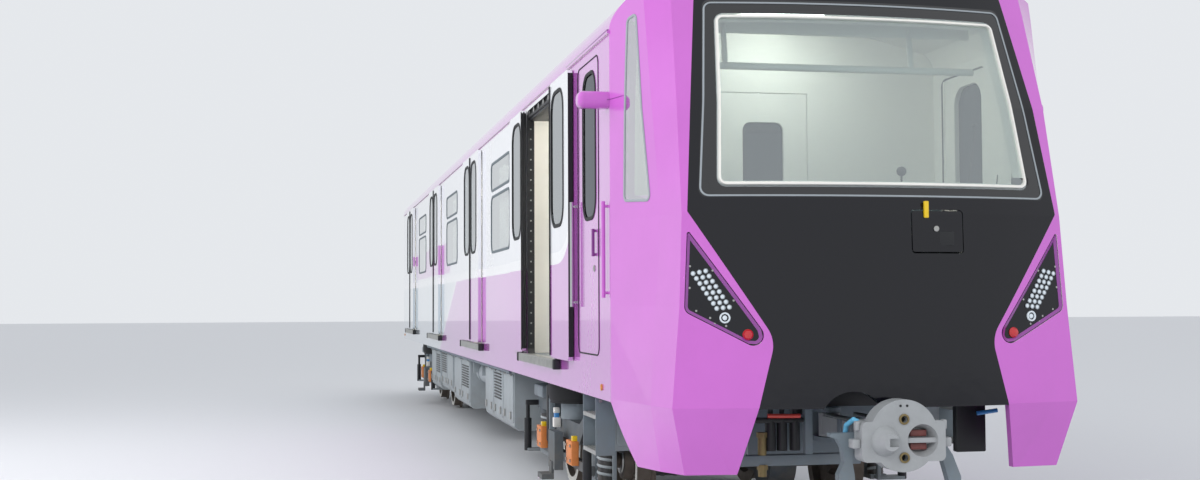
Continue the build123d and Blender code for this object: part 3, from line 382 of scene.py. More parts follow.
@dataclass(frozen=True)
class Speckled(Finish):
    """Sheet flooring with coloured chips."""

    chip: str = "#b7bcc2"
    chip_mm: float = 9.0

    def base(self, tree: Tree, place: Socket) -> Socket | tuple:
        """Chips scattered in the ground colour.

        Args:
            tree: The material's node tree.
            place: Object coordinates.

        Returns:
            The socket that gives the colour.
        """
        cells = add(tree, "TexVoronoi", {"Vector": place, "Scale": 1 / (self.chip_mm * MM)})
        mask = add(tree, "Math", [cells.outputs["Distance"], 0.22], operation="LESS_THAN")
        return add(tree, "Mix", {0: mask, 6: linear(self.colour), 7: linear(self.chip)},
                   data_type="RGBA").outputs[2]


@dataclass(frozen=True)
class Glow(Finish):
    """A lens or tube that gives light."""

    strength: float = 1.0

    def shade(self, tree: Tree, place: Socket) -> Node:
        """A glossy lens with its own light.

        Args:
            tree: The material's node tree.
            place: Not used.

        Returns:
            The shader's node.
        """
        colour = linear(self.colour)
        return add(tree, "BsdfPrincipled", {
            "Base Color": colour, "Roughness": 0.12, "Coat Weight": 1.0,
            "Emission Color": colour, "Emission Strength": self.strength})


ORCHID = "#c964ca"
# Moulded glass fibre with two-pack lacquer: deep gloss over a slightly wavy skin.
CAB_LACQUER = Finish("orchid_lacquer_on_moulded_grp", ORCHID, 0.28, coat=1.0, drift=0.03, grain_mm=300,
                     relief_mm=1.2)
# The same lacquer in painted shadow: dark handles, the mask's crease line, the doors' drip strips and the
# rims that stand round the lamps.
SHADED_CAB_LACQUER = Finish("shaded_orchid_handle_lacquer", "#7c2f84", 0.3, coat=0.8)
RIM_LACQUER = Finish("shaded_orchid_rim_lacquer", "#8d3c95", 0.3, coat=0.8, drift=0.03)
# Lacquer in fields on welded steel panels, whose long waves bend what they mirror.
# Low down it is mixed towards a pale mauve, so the side turns darker and pinker towards the bottom.
SIDE_PAINT = Livery("livery_lacquer_on_steel_panels", "#e9eaef", 0.2, coat=1.0, drift=0.02, grain_mm=240,
                    relief_mm=2.2, dust=0.15, dust_top=1.5, dust_colour="#c9b4c6")
# Gloss black gel coat, which shows every reflection.
BLACK_PANEL = Finish("black_gel_coat_on_moulded_grp", "#0a0a12", 0.1, drift=0.05, grain_mm=320,
                     relief_mm=1.6)
# Sprayed satin over pressed sheet, matt from weather.
ROOF_PAINT = Finish("satin_paint_on_roof_sheet", "#b9bcc4", 0.45, drift=0.05, grain_mm=20, relief_mm=0.05,
                    coat=0.2)
# Pressed laminate and baked powder: even, warm white, half matt.
LINING = Finish("melamine_laminate_lining", "#f6f4ee", 0.42, drift=0.02, grain_mm=1.2)
CEILING = Finish("white_powder_coated_ceiling", "#eceae4", 0.5, drift=0.02)
# Thick brushed paint over welds and castings, uneven and dusty.
FRAME_PAINT = Finish("chassis_paint_on_welded_steel", "#738089", 0.5, drift=0.12, grain_mm=14,
                     relief_mm=0.12, dust=0.55)
BOGIE_PAINT = Finish("bogie_paint_on_cast_steel", "#4c5962", 0.55, drift=0.18, drift_mm=180, grain_mm=6,
                     relief_mm=0.25, dust=0.7)
AXLEBOX_PAINT = Finish("grey_paint_on_cast_axlebox", "#7e8a92", 0.5, drift=0.12, drift_mm=150, grain_mm=6,
                       relief_mm=0.2, dust=0.5)
# Smooth powder coat on folded cases, with a fine peel.
CASE_PAINT = Finish("powder_coat_on_folded_steel", "#9ba4a9", 0.45, drift=0.08, grain_mm=4, relief_mm=0.05,
                    dust=0.5)
# Rolled steel that brakes and rail polish keep bare: dark brown web, bright tread.
WHEEL_STEEL = Finish("rolled_wheel_steel", "#6b625b", 0.42, metallic=0.85, drift=0.25, drift_mm=120,
                     grain_mm=5, relief_mm=0.15, dust=0.5)
# Lime wash on the rim's outer face, which shows a slipped tyre or a worn one.
RIM_PAINT = Finish("white_rim_wash", "#d9d8d2", 0.6, drift=0.1, drift_mm=60, dust=0.25)
# Paint on drawn wire, which shines along each turn; the primary springs' cores are near black, painted shade
# seen between the turns.
SPRING_WIRE = Finish("grey_paint_on_coil_wire", "#b4bcc0", 0.4, coat=0.2, dust=0.25)
SPRING_CORE_SHADE = Finish("spring_core_in_painted_shade", "#2b3034", 0.4, coat=0.3, dust=0.5)
# Pressed glass fibre that holds the live shoe off the beam.
COLLECTOR_RESIN = Finish("orange_insulating_resin", "#d9813f", 0.45, drift=0.08, drift_mm=60, dust=0.2)
# Extruded seals: dull, with a fine mould skin.
RUBBER = Finish("black_epdm_rubber", "#17181a", 0.62, drift=0.1, grain_mm=1.5, relief_mm=0.04)
GREY_RUBBER = Finish("grey_epdm_glazing_rubber", "#5f6a70", 0.55, grain_mm=1.5, relief_mm=0.04)
SOFT_GREY_SEAL = Finish("grey_silicone_seal", "#9aa1a6", 0.5, drift=0.04)
# Machined castings under thin primer, and steel and alloy that stay bare.
COUPLER_PAINT = Finish("grey_primer_on_machined_steel", "#a0a3a5", 0.42, drift_mm=80, grain_mm=2.5,
                       relief_mm=0.05, dust=0.15)
BARE_STEEL = Finish("machined_bright_steel", "#b8b8b4", 0.3, metallic=1.0, drift=0.08, drift_mm=60)
RAIL_STEEL = Finish("brushed_stainless_tube", "#c9cacb", 0.27, metallic=1.0, drift=0.05, grain_mm=1.0,
                    relief_mm=0.01)
SILL_ALLOY = Finish("extruded_anodised_aluminium", "#b4b5b2", 0.42, metallic=0.75, drift=0.1, drift_mm=60,
                    dust=0.3, dust_top=1.6)
# Turned brass, gone brown and dull in the open.
BRASS = Finish("weathered_brass", "#8c7c58", 0.5, metallic=0.8, drift=0.1, drift_mm=30)
# Vacuum formed and injection moulded plastics, matt from a fine leather grain.
DESK = Finish("textured_abs_desk", "#4d565a", 0.55, drift=0.04, grain_mm=1.5, relief_mm=0.06)
HOOD_PLASTIC = Finish("textured_abs_instrument_hood", "#8d999d", 0.6, drift=0.03, grain_mm=1.5,
                      relief_mm=0.05)
BLACK_PLASTIC = Finish("moulded_black_polyamide", "#1b1c1f", 0.45, drift=0.05, grain_mm=1.2, relief_mm=0.04)
# Woven pile and flat cloth in two thread colours.
SEAT_CLOTH = Weave("woven_seat_moquette", "#33498c", 0.85, drift=0.05, grain_mm=2.5, relief_mm=0.3)
DRIVER_CLOTH = Weave("driver_seat_cloth", "#24272d", 0.85, second="#33373f", relief_mm=0.3)
# Rolled sheet with pale chips, worn to a dull sheen.
FLOORING = Speckled("chip_filled_pvc_flooring", "#6d747b", 0.5, grain_mm=2, relief_mm=0.05)
# Float glass: a cool tint with daylight on it, darker where the pane is smoked.
CLEAR_GLASS = Glazing("toughened_window_glass", "#f4f8f8", tint="#c8d2d2", veil=0.55, index=2.2)
DOOR_GLASS = Glazing("toughened_door_glass", "#e9eef0", tint="#8d9a9c", veil=0.30, index=2.0)
CAB_GLASS = Glazing("tapered_cab_side_glass", "#f8fafa", tint="#dfe6e5", veil=0.60, index=2.0)
DARK_GLASS = Glazing("smoked_door_glass", "#aab2bb", tint="#3c4549", index=1.5)
SCREEN_GLASS = Glazing("laminated_windscreen_with_black_print", "#e9f0f2", tint="#e6eeec", veil=0.30,
                       border=(3.276, 0.861, 2.247, 0.934, 0.055))
DISPLAY_GLASS = Finish("desk_screen_glass", "#101418", 0.08, coat=1.0, relief_mm=0.0)
# Moulded lenses that glow faintly in daylight, and the saloon's bright strips.
RED_LENS = Glow("moulded_red_lamp_lens", "#a80d18", strength=0.3)
WHITE_LENS = Glow("clear_led_lens", "#c3ccd2", strength=0.3)
LIGHT_TUBE = Glow("diffused_light_strip", "#fdfbf6", strength=14.0)
# Brushed enamels on handles, tags and hooks, thick and glossy.
RED_OXIDE = Finish("red_oxide_on_hook_blocks", "#7a4642", 0.5, drift=0.12, drift_mm=30)
RED_PAINT = Finish("red_handle_enamel", "#d8443a", 0.35, coat=0.6)
BLUE_PAINT = Finish("blue_handle_enamel", "#3f8fd2", 0.35, coat=0.6)
YELLOW_PAINT = Finish("yellow_tag_enamel", "#e8c21a", 0.4, coat=0.4)
# Moulded marker lens and drawn nylon air line.
MARKER_ORANGE = Finish("orange_marker_lens", "#d08a3c", 0.6, drift=0.1, drift_mm=40)
BLUE_HOSE = Finish("light_blue_air_hose", "#69b7dc", 0.5, drift=0.05)



# Meshes


class Plane(Enum):
    """Which way a flat outline faces: its right, its up and its outward direction."""

    LEFT = ((0, -1, 0), (0, 0, 1), (-1, 0, 0))
    RIGHT = ((0, 1, 0), (0, 0, 1), (1, 0, 0))
    FRONT = ((1, 0, 0), (0, 0, 1), (0, -1, 0))
    BACK = ((-1, 0, 0), (0, 0, 1), (0, 1, 0))
    TOP = ((1, 0, 0), (0, 1, 0), (0, 0, 1))
    UNDER = ((1, 0, 0), (0, -1, 0), (0, 0, -1))

    def at(self, x: float, y: float, z: float) -> Matrix:
        """Put a flat outline on this plane at a place on the car.

        Args:
            x: Metres to the right of the middle.
            y: Metres behind the front coupling plane.
            z: Metres over the rail top.

        Returns:
            The matrix.
        """
        right, up, out = (Vector(v) for v in self.value)
        turn = Matrix((right, up, out)).transposed().to_4x4()
        return Matrix.Translation(car(x, y, z)) @ turn


def circle(count: int, radius: float = 1.0) -> list[Pair]:
    """Points spread evenly on a circle round the origin."""
    turns = [k * math.tau / count for k in range(count)]
    return [(radius * math.cos(turn), radius * math.sin(turn)) for turn in turns]


def only(kind: type, parts: Iterable) -> list:
    """The vertices, edges or faces among what an operator gives back."""
    return [part for part in parts if isinstance(part, kind)]


def faces_round(verts: Iterable[Vert]) -> list[Face]:
    """The faces that meet at some vertices, each once."""
    return list({face for vert in verts for face in vert.link_faces})


class Shape:
    """A mesh in the making, in the frame's coordinates."""

    def __init__(self) -> None:
        """Start an empty mesh."""
        self.bm = bmesh.new()

    def bevel(self, parts: Iterable, width: float, segments: int, affect: str = "EDGES",
              clamp: bool = True) -> list[Vert]:
        """Round some edges or corners.

        Args:
            parts: The edges, or the corner vertices.
            width: How far the rounding reaches, or 0 for none.
            segments: How many flats it has.
            affect: EDGES or VERTICES.
            clamp: Keep roundings from running into each other.

        Returns:
            The vertices of the rounding.
        """
        if not width:
            return []
        return ops.bevel(self.bm, geom=list(parts), offset=width, segments=segments, profile=0.5,
                         affect=affect, material=-1, clamp_overlap=clamp)["verts"]

    def place(self, verts: Iterable[Vert], matrix: Matrix) -> None:
        """Turn the faces round some vertices outwards, and move them to their place."""
        ops.recalc_face_normals(self.bm, faces=faces_round(verts))
        ops.transform(self.bm, matrix=matrix, verts=list(verts))

    def block(self, low: Point, high: Point, bevel: float = 0.0, segments: int = 2) -> Shape:
        """Add a box between two corners, with its edges rounded.

        Args:
            low: One corner.
            high: The opposite corner, on any side of the first.
            bevel: The rounding of its edges.
            segments: How many flats the rounding has.

        Returns:
            The shape itself.
        """
        ends = spot(low), spot(high)
        low, high = Vector(map(min, *ends)), Vector(map(max, *ends))
        made = ops.create_cube(self.bm, size=1.0)["verts"]
        ops.scale(self.bm, vec=high - low, verts=made)
        ops.translate(self.bm, vec=(low + high) / 2, verts=made)
        self.bevel({e for v in made for e in v.link_edges}, bevel, segments)
        return self

    def bar(self, start: Point, end: Point, radius: float, sides: int = 16, taper: float = 1.0,
            bevel: float = 0.0) -> None:
        """Add a round bar from one point to another.

        Args:
            start: The centre of one end.
            end: The centre of the other end.
            radius: The radius at the start.
            sides: How many flats go round it.
            taper: The end's radius as a share of the start's.
            bevel: The rounding of its end edges.
        """
        start, end = spot(start), spot(end)
        run = end - start
        made = ops.create_cone(self.bm, cap_ends=True, cap_tris=False, segments=sides, radius1=radius,
                               radius2=radius * taper, depth=run.length)["verts"]
        turn = run.to_track_quat("Z", "Y").to_matrix().to_4x4()
        ops.transform(self.bm, matrix=Matrix.Translation((start + end) / 2) @ turn, verts=made)
        rims = {e for v in made for e in v.link_edges if any(len(f.verts) > 4 for f in e.link_faces)}
        self.bevel(rims, bevel, 2)

    def ball(self, centre: Point, radius: float, detail: int = 10, squash: Point = (1, 1, 1)) -> None:
        """Add a ball.

        Args:
            centre: Its centre.
            radius: Its radius.
            detail: How many flats go round it.
            squash: How far it is flattened along each axis.
        """
        made = ops.create_uvsphere(self.bm, u_segments=detail, v_segments=max(detail * 2 // 3, 4),
                                   radius=radius)["verts"]
        ops.scale(self.bm, vec=Vector(squash), verts=made)
        ops.translate(self.bm, vec=spot(centre), verts=made)

    def turned(self, profile: Iterable[Pair], origin: Point, axis: Point, sides: int = 32) -> None:
        """Add a turned part.

        Args:
            profile: Distances along the axis and radii.
            origin: The point on the axis where distances start.
            axis: The direction in which distances grow.
            sides: How many steps go round it.
        """
        axis = Vector(axis).normalized()
        out = axis.orthogonal().normalized()
        origin = spot(origin)
        before = set(self.bm.verts)
        chain = [self.bm.verts.new(origin + axis * along + out * radius) for along, radius in profile]
        edges = [self.bm.edges.new(pair) for pair in zip(chain, chain[1:])]
        ops.spin(self.bm, geom=chain + edges, cent=origin, axis=axis, angle=math.tau, steps=sides,
                 use_merge=True)
        ops.remove_doubles(self.bm, verts=[v for v in self.bm.verts if v not in before], dist=1e-6)
        self.place([v for v in self.bm.verts if v not in before], Matrix())

    def flat(self, points: Iterable[Pair]) -> Face:
        """Make a flat outline that faces +Z.

        Args:
            points: Its corners, in order.

        Returns:
            The face.
        """
        face = self.bm.faces.new([self.bm.verts.new((u, v, 0)) for u, v in points])
        face.normal_update()
        if face.normal.z < 0:
            face.normal_flip()
        return face

    def outline(self, size: Pair, radius: float) -> Face:
        """A flat rectangle with round corners, centred on the origin and facing +Z.

        Args:
            size: Its width and height.
            radius: Its corners' radius.

        Returns:
            The outline.
        """
        made = ops.create_grid(self.bm, x_segments=1, y_segments=1, size=0.5)["verts"]
        ops.scale(self.bm, vec=(*size, 1), verts=made)
        return self.bevel(made, radius, CORNER_STEPS, "VERTICES")[0].link_faces[0]

    def cornered(self, points: Sequence[Pair], radii: Sequence[float], step: float) -> Face:
        """A flat outline with true round corners, whose long edges are cut into steps.

        Args:
            points: The corners, anticlockwise.
            radii: The radius of each corner.
            step: The longest edge that stays whole.

        Returns:
            The outline, facing +Z.
        """
        face = self.flat(points)
        for (u, v), radius in zip(points, radii):
            corner = min(face.verts, key=lambda vert: (vert.co - Vector((u, v, 0))).length)
            before, after = [(e.other_vert(corner).co - corner.co).normalized() for e in corner.link_edges]
            half = before.angle(after) / 2
            hub = corner.co + (before + after).normalized() * radius / math.sin(half)
            made = self.bevel([corner], radius / math.tan(half), CORNER_STEPS, "VERTICES", clamp=False)
            for vert in made:
                vert.co = hub + (vert.co - hub).normalized() * radius
            face = made[0].link_faces[0]
        while long := [e for e in face.edges if e.calc_length() > step]:
            ops.subdivide_edges(self.bm, edges=long, cuts=1)
        return face

    def plate(self, size: Pair, radius: float, depth: float, matrix: Matrix, bevel: float = 0.0) -> None:
        """Add a plate with round corners.

        Args:
            size: Its width and height.
            radius: Its corners' radius.
            depth: How far it stands off its plane.
            matrix: Where its plane lies.
            bevel: The rounding of its front rim.
        """
        face = self.outline(size, radius)
        low = list(face.verts)
        made = ops.extrude_face_region(self.bm, geom=[face], use_keep_orig=True)["geom"]
        top = only(Vert, made)
        ops.translate(self.bm, vec=(0, 0, depth), verts=top)
        self.place(low + top, matrix)
        self.bevel(only(Edge, made), bevel, 2)

    def ring(self, face: Face, width: float) -> tuple[list, list, list]:
        """Cut the middle out of a flat outline and lay a copy of the ring that is left on it.

        Args:
            face: The ring's outer outline.
            width: How wide the ring is.

        Returns:
            The ring's faces, and the copy's vertices and faces.
        """
        faces = ops.inset_region(self.bm, faces=[face], thickness=width, use_even_offset=True,
                                 use_boundary=True)["faces"]
        ops.delete(self.bm, geom=[face], context="FACES_ONLY")
        made = ops.extrude_face_region(self.bm, geom=faces, use_keep_orig=True)["geom"]
        return faces, only(Vert, made), only(Face, made)

    def gasket(self, face: Face, width: float, depth: float, matrix: Matrix) -> None:
        """Turn a flat outline into a closed frame with a crowned face round an opening.

        Args:
            face: The frame's outer outline.
            width: How wide the frame is.
            depth: How far its edges stand off its plane.
            matrix: Where its plane lies.
        """
        ring, top, crown = self.ring(face, width)
        ops.translate(self.bm, vec=(0, 0, depth), verts=top)
        ops.inset_region(self.bm, faces=crown, thickness=width * 0.3, depth=depth * 0.5,
                         use_even_offset=True, use_boundary=True)
        faces = set(faces_round({v for f in ring for v in f.verts} | set(top))) | set(crown)
        self.place({v for f in faces for v in f.verts}, matrix)

    def frame(self, size: Pair, radius: float, width: float, depth: float, matrix: Matrix) -> Shape:
        """Add a closed frame round a rectangular opening, as gasket does, with round corners."""
        self.gasket(self.outline(size, radius), width, depth, matrix)
        return self

    def ramp(self, face: Face, width: float, depth: float, matrix: Matrix) -> None:
        """Turn a flat outline into a closed ring that stands depth off its plane and slopes inwards.

        Args:
            face: The ring's outer outline.
            width: How wide the ring is.
            depth: How far its outer edge stands off its plane.
            matrix: Where its plane lies.
        """
        outer = {v.co.to_tuple(5) for v in face.verts}
        ring, top, _ = self.ring(face, width)
        for vert in top:
            vert.co.z = depth if vert.co.to_tuple(5) in outer else MM
        self.place({v for f in ring for v in f.verts} | set(top), matrix)

    def bolts(self, places: Iterable[Point], out: Point, radius: float = 0.011, high: float = 0.008,
              sides: int = 6) -> None:
        """Add a bolt head at each place.

        Args:
            places: Where the heads sit.
            out: Which way they stand out.
            radius: A head's radius.
            high: How far it stands out.
            sides: How many flats go round it.
        """
        out = Vector(out).normalized()
        for place in map(spot, places):
            self.bar(place - out * 0.002, place + out * high, radius, sides)

    def pipe(self, points: Sequence[Point], radius: float) -> None:
        """Add a bent pipe through points, with a ball in each bend.

        Args:
            points: Its ends and bends.
            radius: Its radius.
        """
        for a, b in zip(points, points[1:]):
            self.bar(a, b, radius, 10)
        for bend in points[1:-1]:
            self.ball(bend, radius * 1.02)

    def coil(self, base: Point, height: float, radius: float, wire: float, turns: float) -> None:
        """Add an upright coil spring.

        Args:
            base: The foot of its axis.
            height: How far it climbs.
            radius: From its axis to the wire's middle.
            wire: The wire's radius.
            turns: How often it goes round.
        """
        before, base = set(self.bm.verts), spot(base)
        made = ops.create_circle(self.bm, cap_ends=False, radius=wire, segments=7)["verts"]
        ops.transform(self.bm, matrix=Matrix.Translation(base + Vector((radius, 0, 0)))
                      @ Matrix.Rotation(math.pi / 2, 4, "X"), verts=made)
        edges = list({e for v in made for e in v.link_edges})
        steps = int(turns * 18)
        ops.spin(self.bm, geom=made + edges, cent=base, axis=(0, 0, 1), angle=math.tau * turns,
                 steps=steps, dvec=(0, 0, height / steps))
        fresh = [v for v in self.bm.verts if v not in before]
        rims = {e for v in fresh for e in v.link_edges if len(e.link_faces) == 1}
        ops.holes_fill(self.bm, edges=list(rims), sides=0)
        self.place(fresh, Matrix())

    def pad(self, size: Pair, crown: float, matrix: Matrix) -> None:
        """Add a crowned cushion on a plane, whose sides pull in between its corners.

        Args:
            size: Its width and height.
            crown: How far its middle stands off the plane.
            matrix: Where the plane lies.
        """
        pull = 0.03     # how far each side pulls in, as a share
        rim = 0.72      # the crown near the rim, as a share of the middle's
        verts = ops.create_grid(self.bm, x_segments=10, y_segments=10, size=1.0)["verts"]
        rims = list({e for v in verts for e in v.link_edges if len(e.link_faces) == 1})
        for vert in verts:
            u, v = (math.sin(c * math.pi / 2) for c in vert.co.xy)
            swell = max((1 - abs(u) ** 8) * (1 - abs(v) ** 8), 0.0) ** 0.35
            vert.co = Vector((u * size[0] / 2 * (1 - pull * (1 - v * v)),
                              v * size[1] / 2 * (1 - pull * (1 - u * u)),
                              crown * swell * (rim + (1 - rim) * (1 - u * u) * (1 - v * v))))
        ops.holes_fill(self.bm, edges=rims, sides=0)
        self.place(verts, matrix)

    def drape(self, tree: BVHTree, way: Point, base: float) -> Shape:
        """Press the shape on a surface: heights over a plane become heights over the surface.

        Args:
            tree: The surface.
            way: The direction in which the shape is pressed on.
            base: How far along way the plane lies.

        Returns:
            The shape itself.
        """
        way = Vector(way)
        for vert in self.bm.verts:
            along = vert.co.dot(way)
            hit = tree.ray_cast(vert.co - way * (along + 30), way)[0]
            if hit:
                vert.co += way * (hit.dot(way) - base)
        return self

    def both_sides(self) -> Shape:
        """Add the mirror image on the other side of the car.

        Returns:
            The shape itself.
        """
        first = [*self.bm.verts, *self.bm.edges, *self.bm.faces]
        copy = ops.duplicate(self.bm, geom=first)["geom"]
        ops.scale(self.bm, vec=(-1, 1, 1), verts=only(Vert, copy))
        ops.reverse_faces(self.bm, faces=only(Face, copy))
        return self

    def one_side(self, sign: int) -> Shape:
        """Flip the shape to the left side where asked.

        Args:
            sign: 1 for the right side, -1 for the left.

        Returns:
            The shape itself.
        """
        if sign < 0:
            ops.scale(self.bm, vec=(-1, 1, 1), verts=self.bm.verts)
            ops.reverse_faces(self.bm, faces=self.bm.faces)
        return self

    def settle(self, name: str, finish: Finish, body: str = "body",
               slot: str | None = None) -> bpy.types.Object:
        """Make the object: its mesh, finish, smoothing and the body that it rides on.

        Args:
            name: The piece's name.
            finish: What it is made of.
            body: The body that it moves with.
            slot: Not used.

        Returns:
            The finished object.
        """
        mesh = bpy.data.meshes.new(name)
        self.bm.to_mesh(mesh)
        self.bm.free()
        mesh.materials.append(finish.build())
        mesh.shade_smooth()
        mesh.set_sharp_from_angle(angle=SHARP_ANGLE)
        piece = bpy.data.objects.new(name, mesh)
        show(piece)
        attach(piece, body)
        LOG.info("%s: %d faces on %s", name, len(mesh.polygons), body)
        return piece


class Kit:
    """Pieces that are built side by side, each with its name and finish."""

    def __init__(self, **finishes: Finish) -> None:
        """Start an empty shape for each piece.

        Args:
            **finishes: Each piece's finish, by its name.
        """
        self.pieces = [(name, finish, Shape()) for name, finish in finishes.items()]

    def __iter__(self) -> Iterator[Shape]:
        """The shapes, in the order in which the pieces are named."""
        return (shape for _, _, shape in self.pieces)

    def settle(self, body: str = "body", side: int = 0, suffix: str = "", **slots: str) -> None:
        """Make every piece's object.

        Args:
            body: The body that they move with.
            side: 0 for both sides of the car, -1 for the left one only and 1 for no change.
            suffix: What each name ends in.
            **slots: The record's material slot of a piece that has one, by its name.
        """
        for name, finish, shape in self.pieces:
            shape = shape.one_side(side) if side else shape.both_sides()
            shape.settle(name + suffix, finish, body, slots.get(name))


def dress(node: str, finishes: Sequence[Finish], choose: Chooser | None = None) -> None:
    """Give a frame node its finishes, by face where choose picks them.

    Args:
        node: The node's name.
        finishes: The finishes that it shows.
        choose: Gives the number of the finish from a face's centre and normal.
    """
    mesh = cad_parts[node].data
    mesh.materials.clear()
    for finish in finishes:
        mesh.materials.append(finish.build())
    for face in mesh.polygons:
        face.material_index = int(choose(face.center, face.normal)) if choose else 0
    LOG.info("%s: dressed in %s", node, ", ".join(finish.name for finish in finishes))


def surface(*nodes: str) -> BVHTree:
    """Make a tree for finding where a line meets some of the frame's nodes.

    Args:
        *nodes: The nodes' names.

    Returns:
        The tree of all their faces.
    """
    places, faces = [], []
    for node in nodes:
        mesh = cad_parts[node].data
        first = len(places)
        places += [v.co for v in mesh.vertices]
        faces += [[first + i for i in p.vertices] for p in mesh.polygons]
    return BVHTree.FromPolygons(places, faces)


# Sub-assemblies


@dataclass
class Studio:
    """A pale floor, soft light and the camera at the photo's place."""

    eye: tuple[float, float, float] = (-3.175, -7.469, 1.563)  # from the coupling plane and the rail top
    yaw: float = 11.427  # angles in degrees, the lens in mm for a 36 mm sensor
    pitch: float = 2.551
    roll: float = -0.254
    lens: float = 44.106
    sensor: float = 36.0
    reach: float = 400.0
    floor: Finish = Finish("pale_studio_floor", "#dcdde0", 0.85, drift=0.0, relief_mm=0.0)
    floor_half: float = 140.0
    sky: str = "#eef1f5"
    sky_strength: float = 0.92
    # Each lamp's name, place, aim, size and power.
    lamps: tuple = (("key", (-9.0, -9.0, 8.5), (-0.5, 1.0, 1.8), 7.0, 620.0),
                    ("fill", (7.0, -8.0, 5.0), (0.0, 0.0, 1.8), 6.0, 120.0),
                    ("side", (-11.0, 6.0, 7.0), (-1.35, 8.0, 1.5), 9.0, 600.0))

    def camera(self) -> None:
        """Set the camera where the photographer stood."""
        yaw, pitch, roll = (math.radians(v) for v in (self.yaw, self.pitch, self.roll))
        ahead = Vector((math.sin(yaw) * math.cos(pitch), math.cos(yaw) * math.cos(pitch), math.sin(pitch)))
        flat = Vector((math.cos(yaw), -math.sin(yaw), 0))
        rise = flat.cross(ahead)
        right = flat * math.cos(roll) + rise * math.sin(roll)
        up = rise * math.cos(roll) - flat * math.sin(roll)
        data = bpy.data.cameras.new("camera")
        data.lens, data.sensor_width, data.clip_end = self.lens, self.sensor, self.reach
        camera = bpy.data.objects.new("camera", data)
        turn = Matrix((right, up, -ahead)).transposed().to_4x4()
        camera.matrix_world = Matrix.Translation(car(*self.eye)) @ turn
        show(camera)
        bpy.context.scene.camera = camera

    def lamp(self, name: str, place: Point, aim: Point, size: float, power: float) -> None:
        """Hang a square soft light that faces a point.

        Args:
            name: The light's name.
            place: Where it hangs, measured on the car.
            aim: The point that it faces.
            size: Its width, in metres.
            power: Its power, in watts.
        """
        data = bpy.data.lights.new(name, "AREA")
        data.shape, data.size, data.energy = "SQUARE", size, power
        lamp = bpy.data.objects.new(name, data)
        run = car(*aim) - car(*place)
        turn = run.to_track_quat("-Z", "Y").to_matrix().to_4x4()
        lamp.visible_glossy = False
        lamp.matrix_world = Matrix.Translation(car(*place)) @ turn
        show(lamp)

    def build(self) -> None:
        """Lay the floor, light the scene and set the camera."""
        ground = Shape()
        ops.create_grid(ground.bm, x_segments=1, y_segments=1, size=self.floor_half)
        mesh = bpy.data.meshes.new("floor")
        ground.bm.to_mesh(mesh)
        ground.bm.free()
        mesh.materials.append(self.floor.build())
        floor = bpy.data.objects.new("floor", mesh)
        show(floor)
        world = bpy.data.worlds.new("overcast")
        world.use_nodes = True
        sky = world.node_tree.nodes["Background"]
        sky.inputs["Color"].default_value = linear(self.sky)
        sky.inputs["Strength"].default_value = self.sky_strength
        bpy.context.scene.world = world
        for row in self.lamps:
            self.lamp(*row)
        bpy.context.scene.view_settings.view_transform = "Standard"
        self.camera()


def outward(centre: Vector) -> Chooser:
    """A chooser that gives 0 for faces that look away from centre, and 1 for those that look at it."""
    return lambda place, normal: (place - centre).dot(normal) < 0


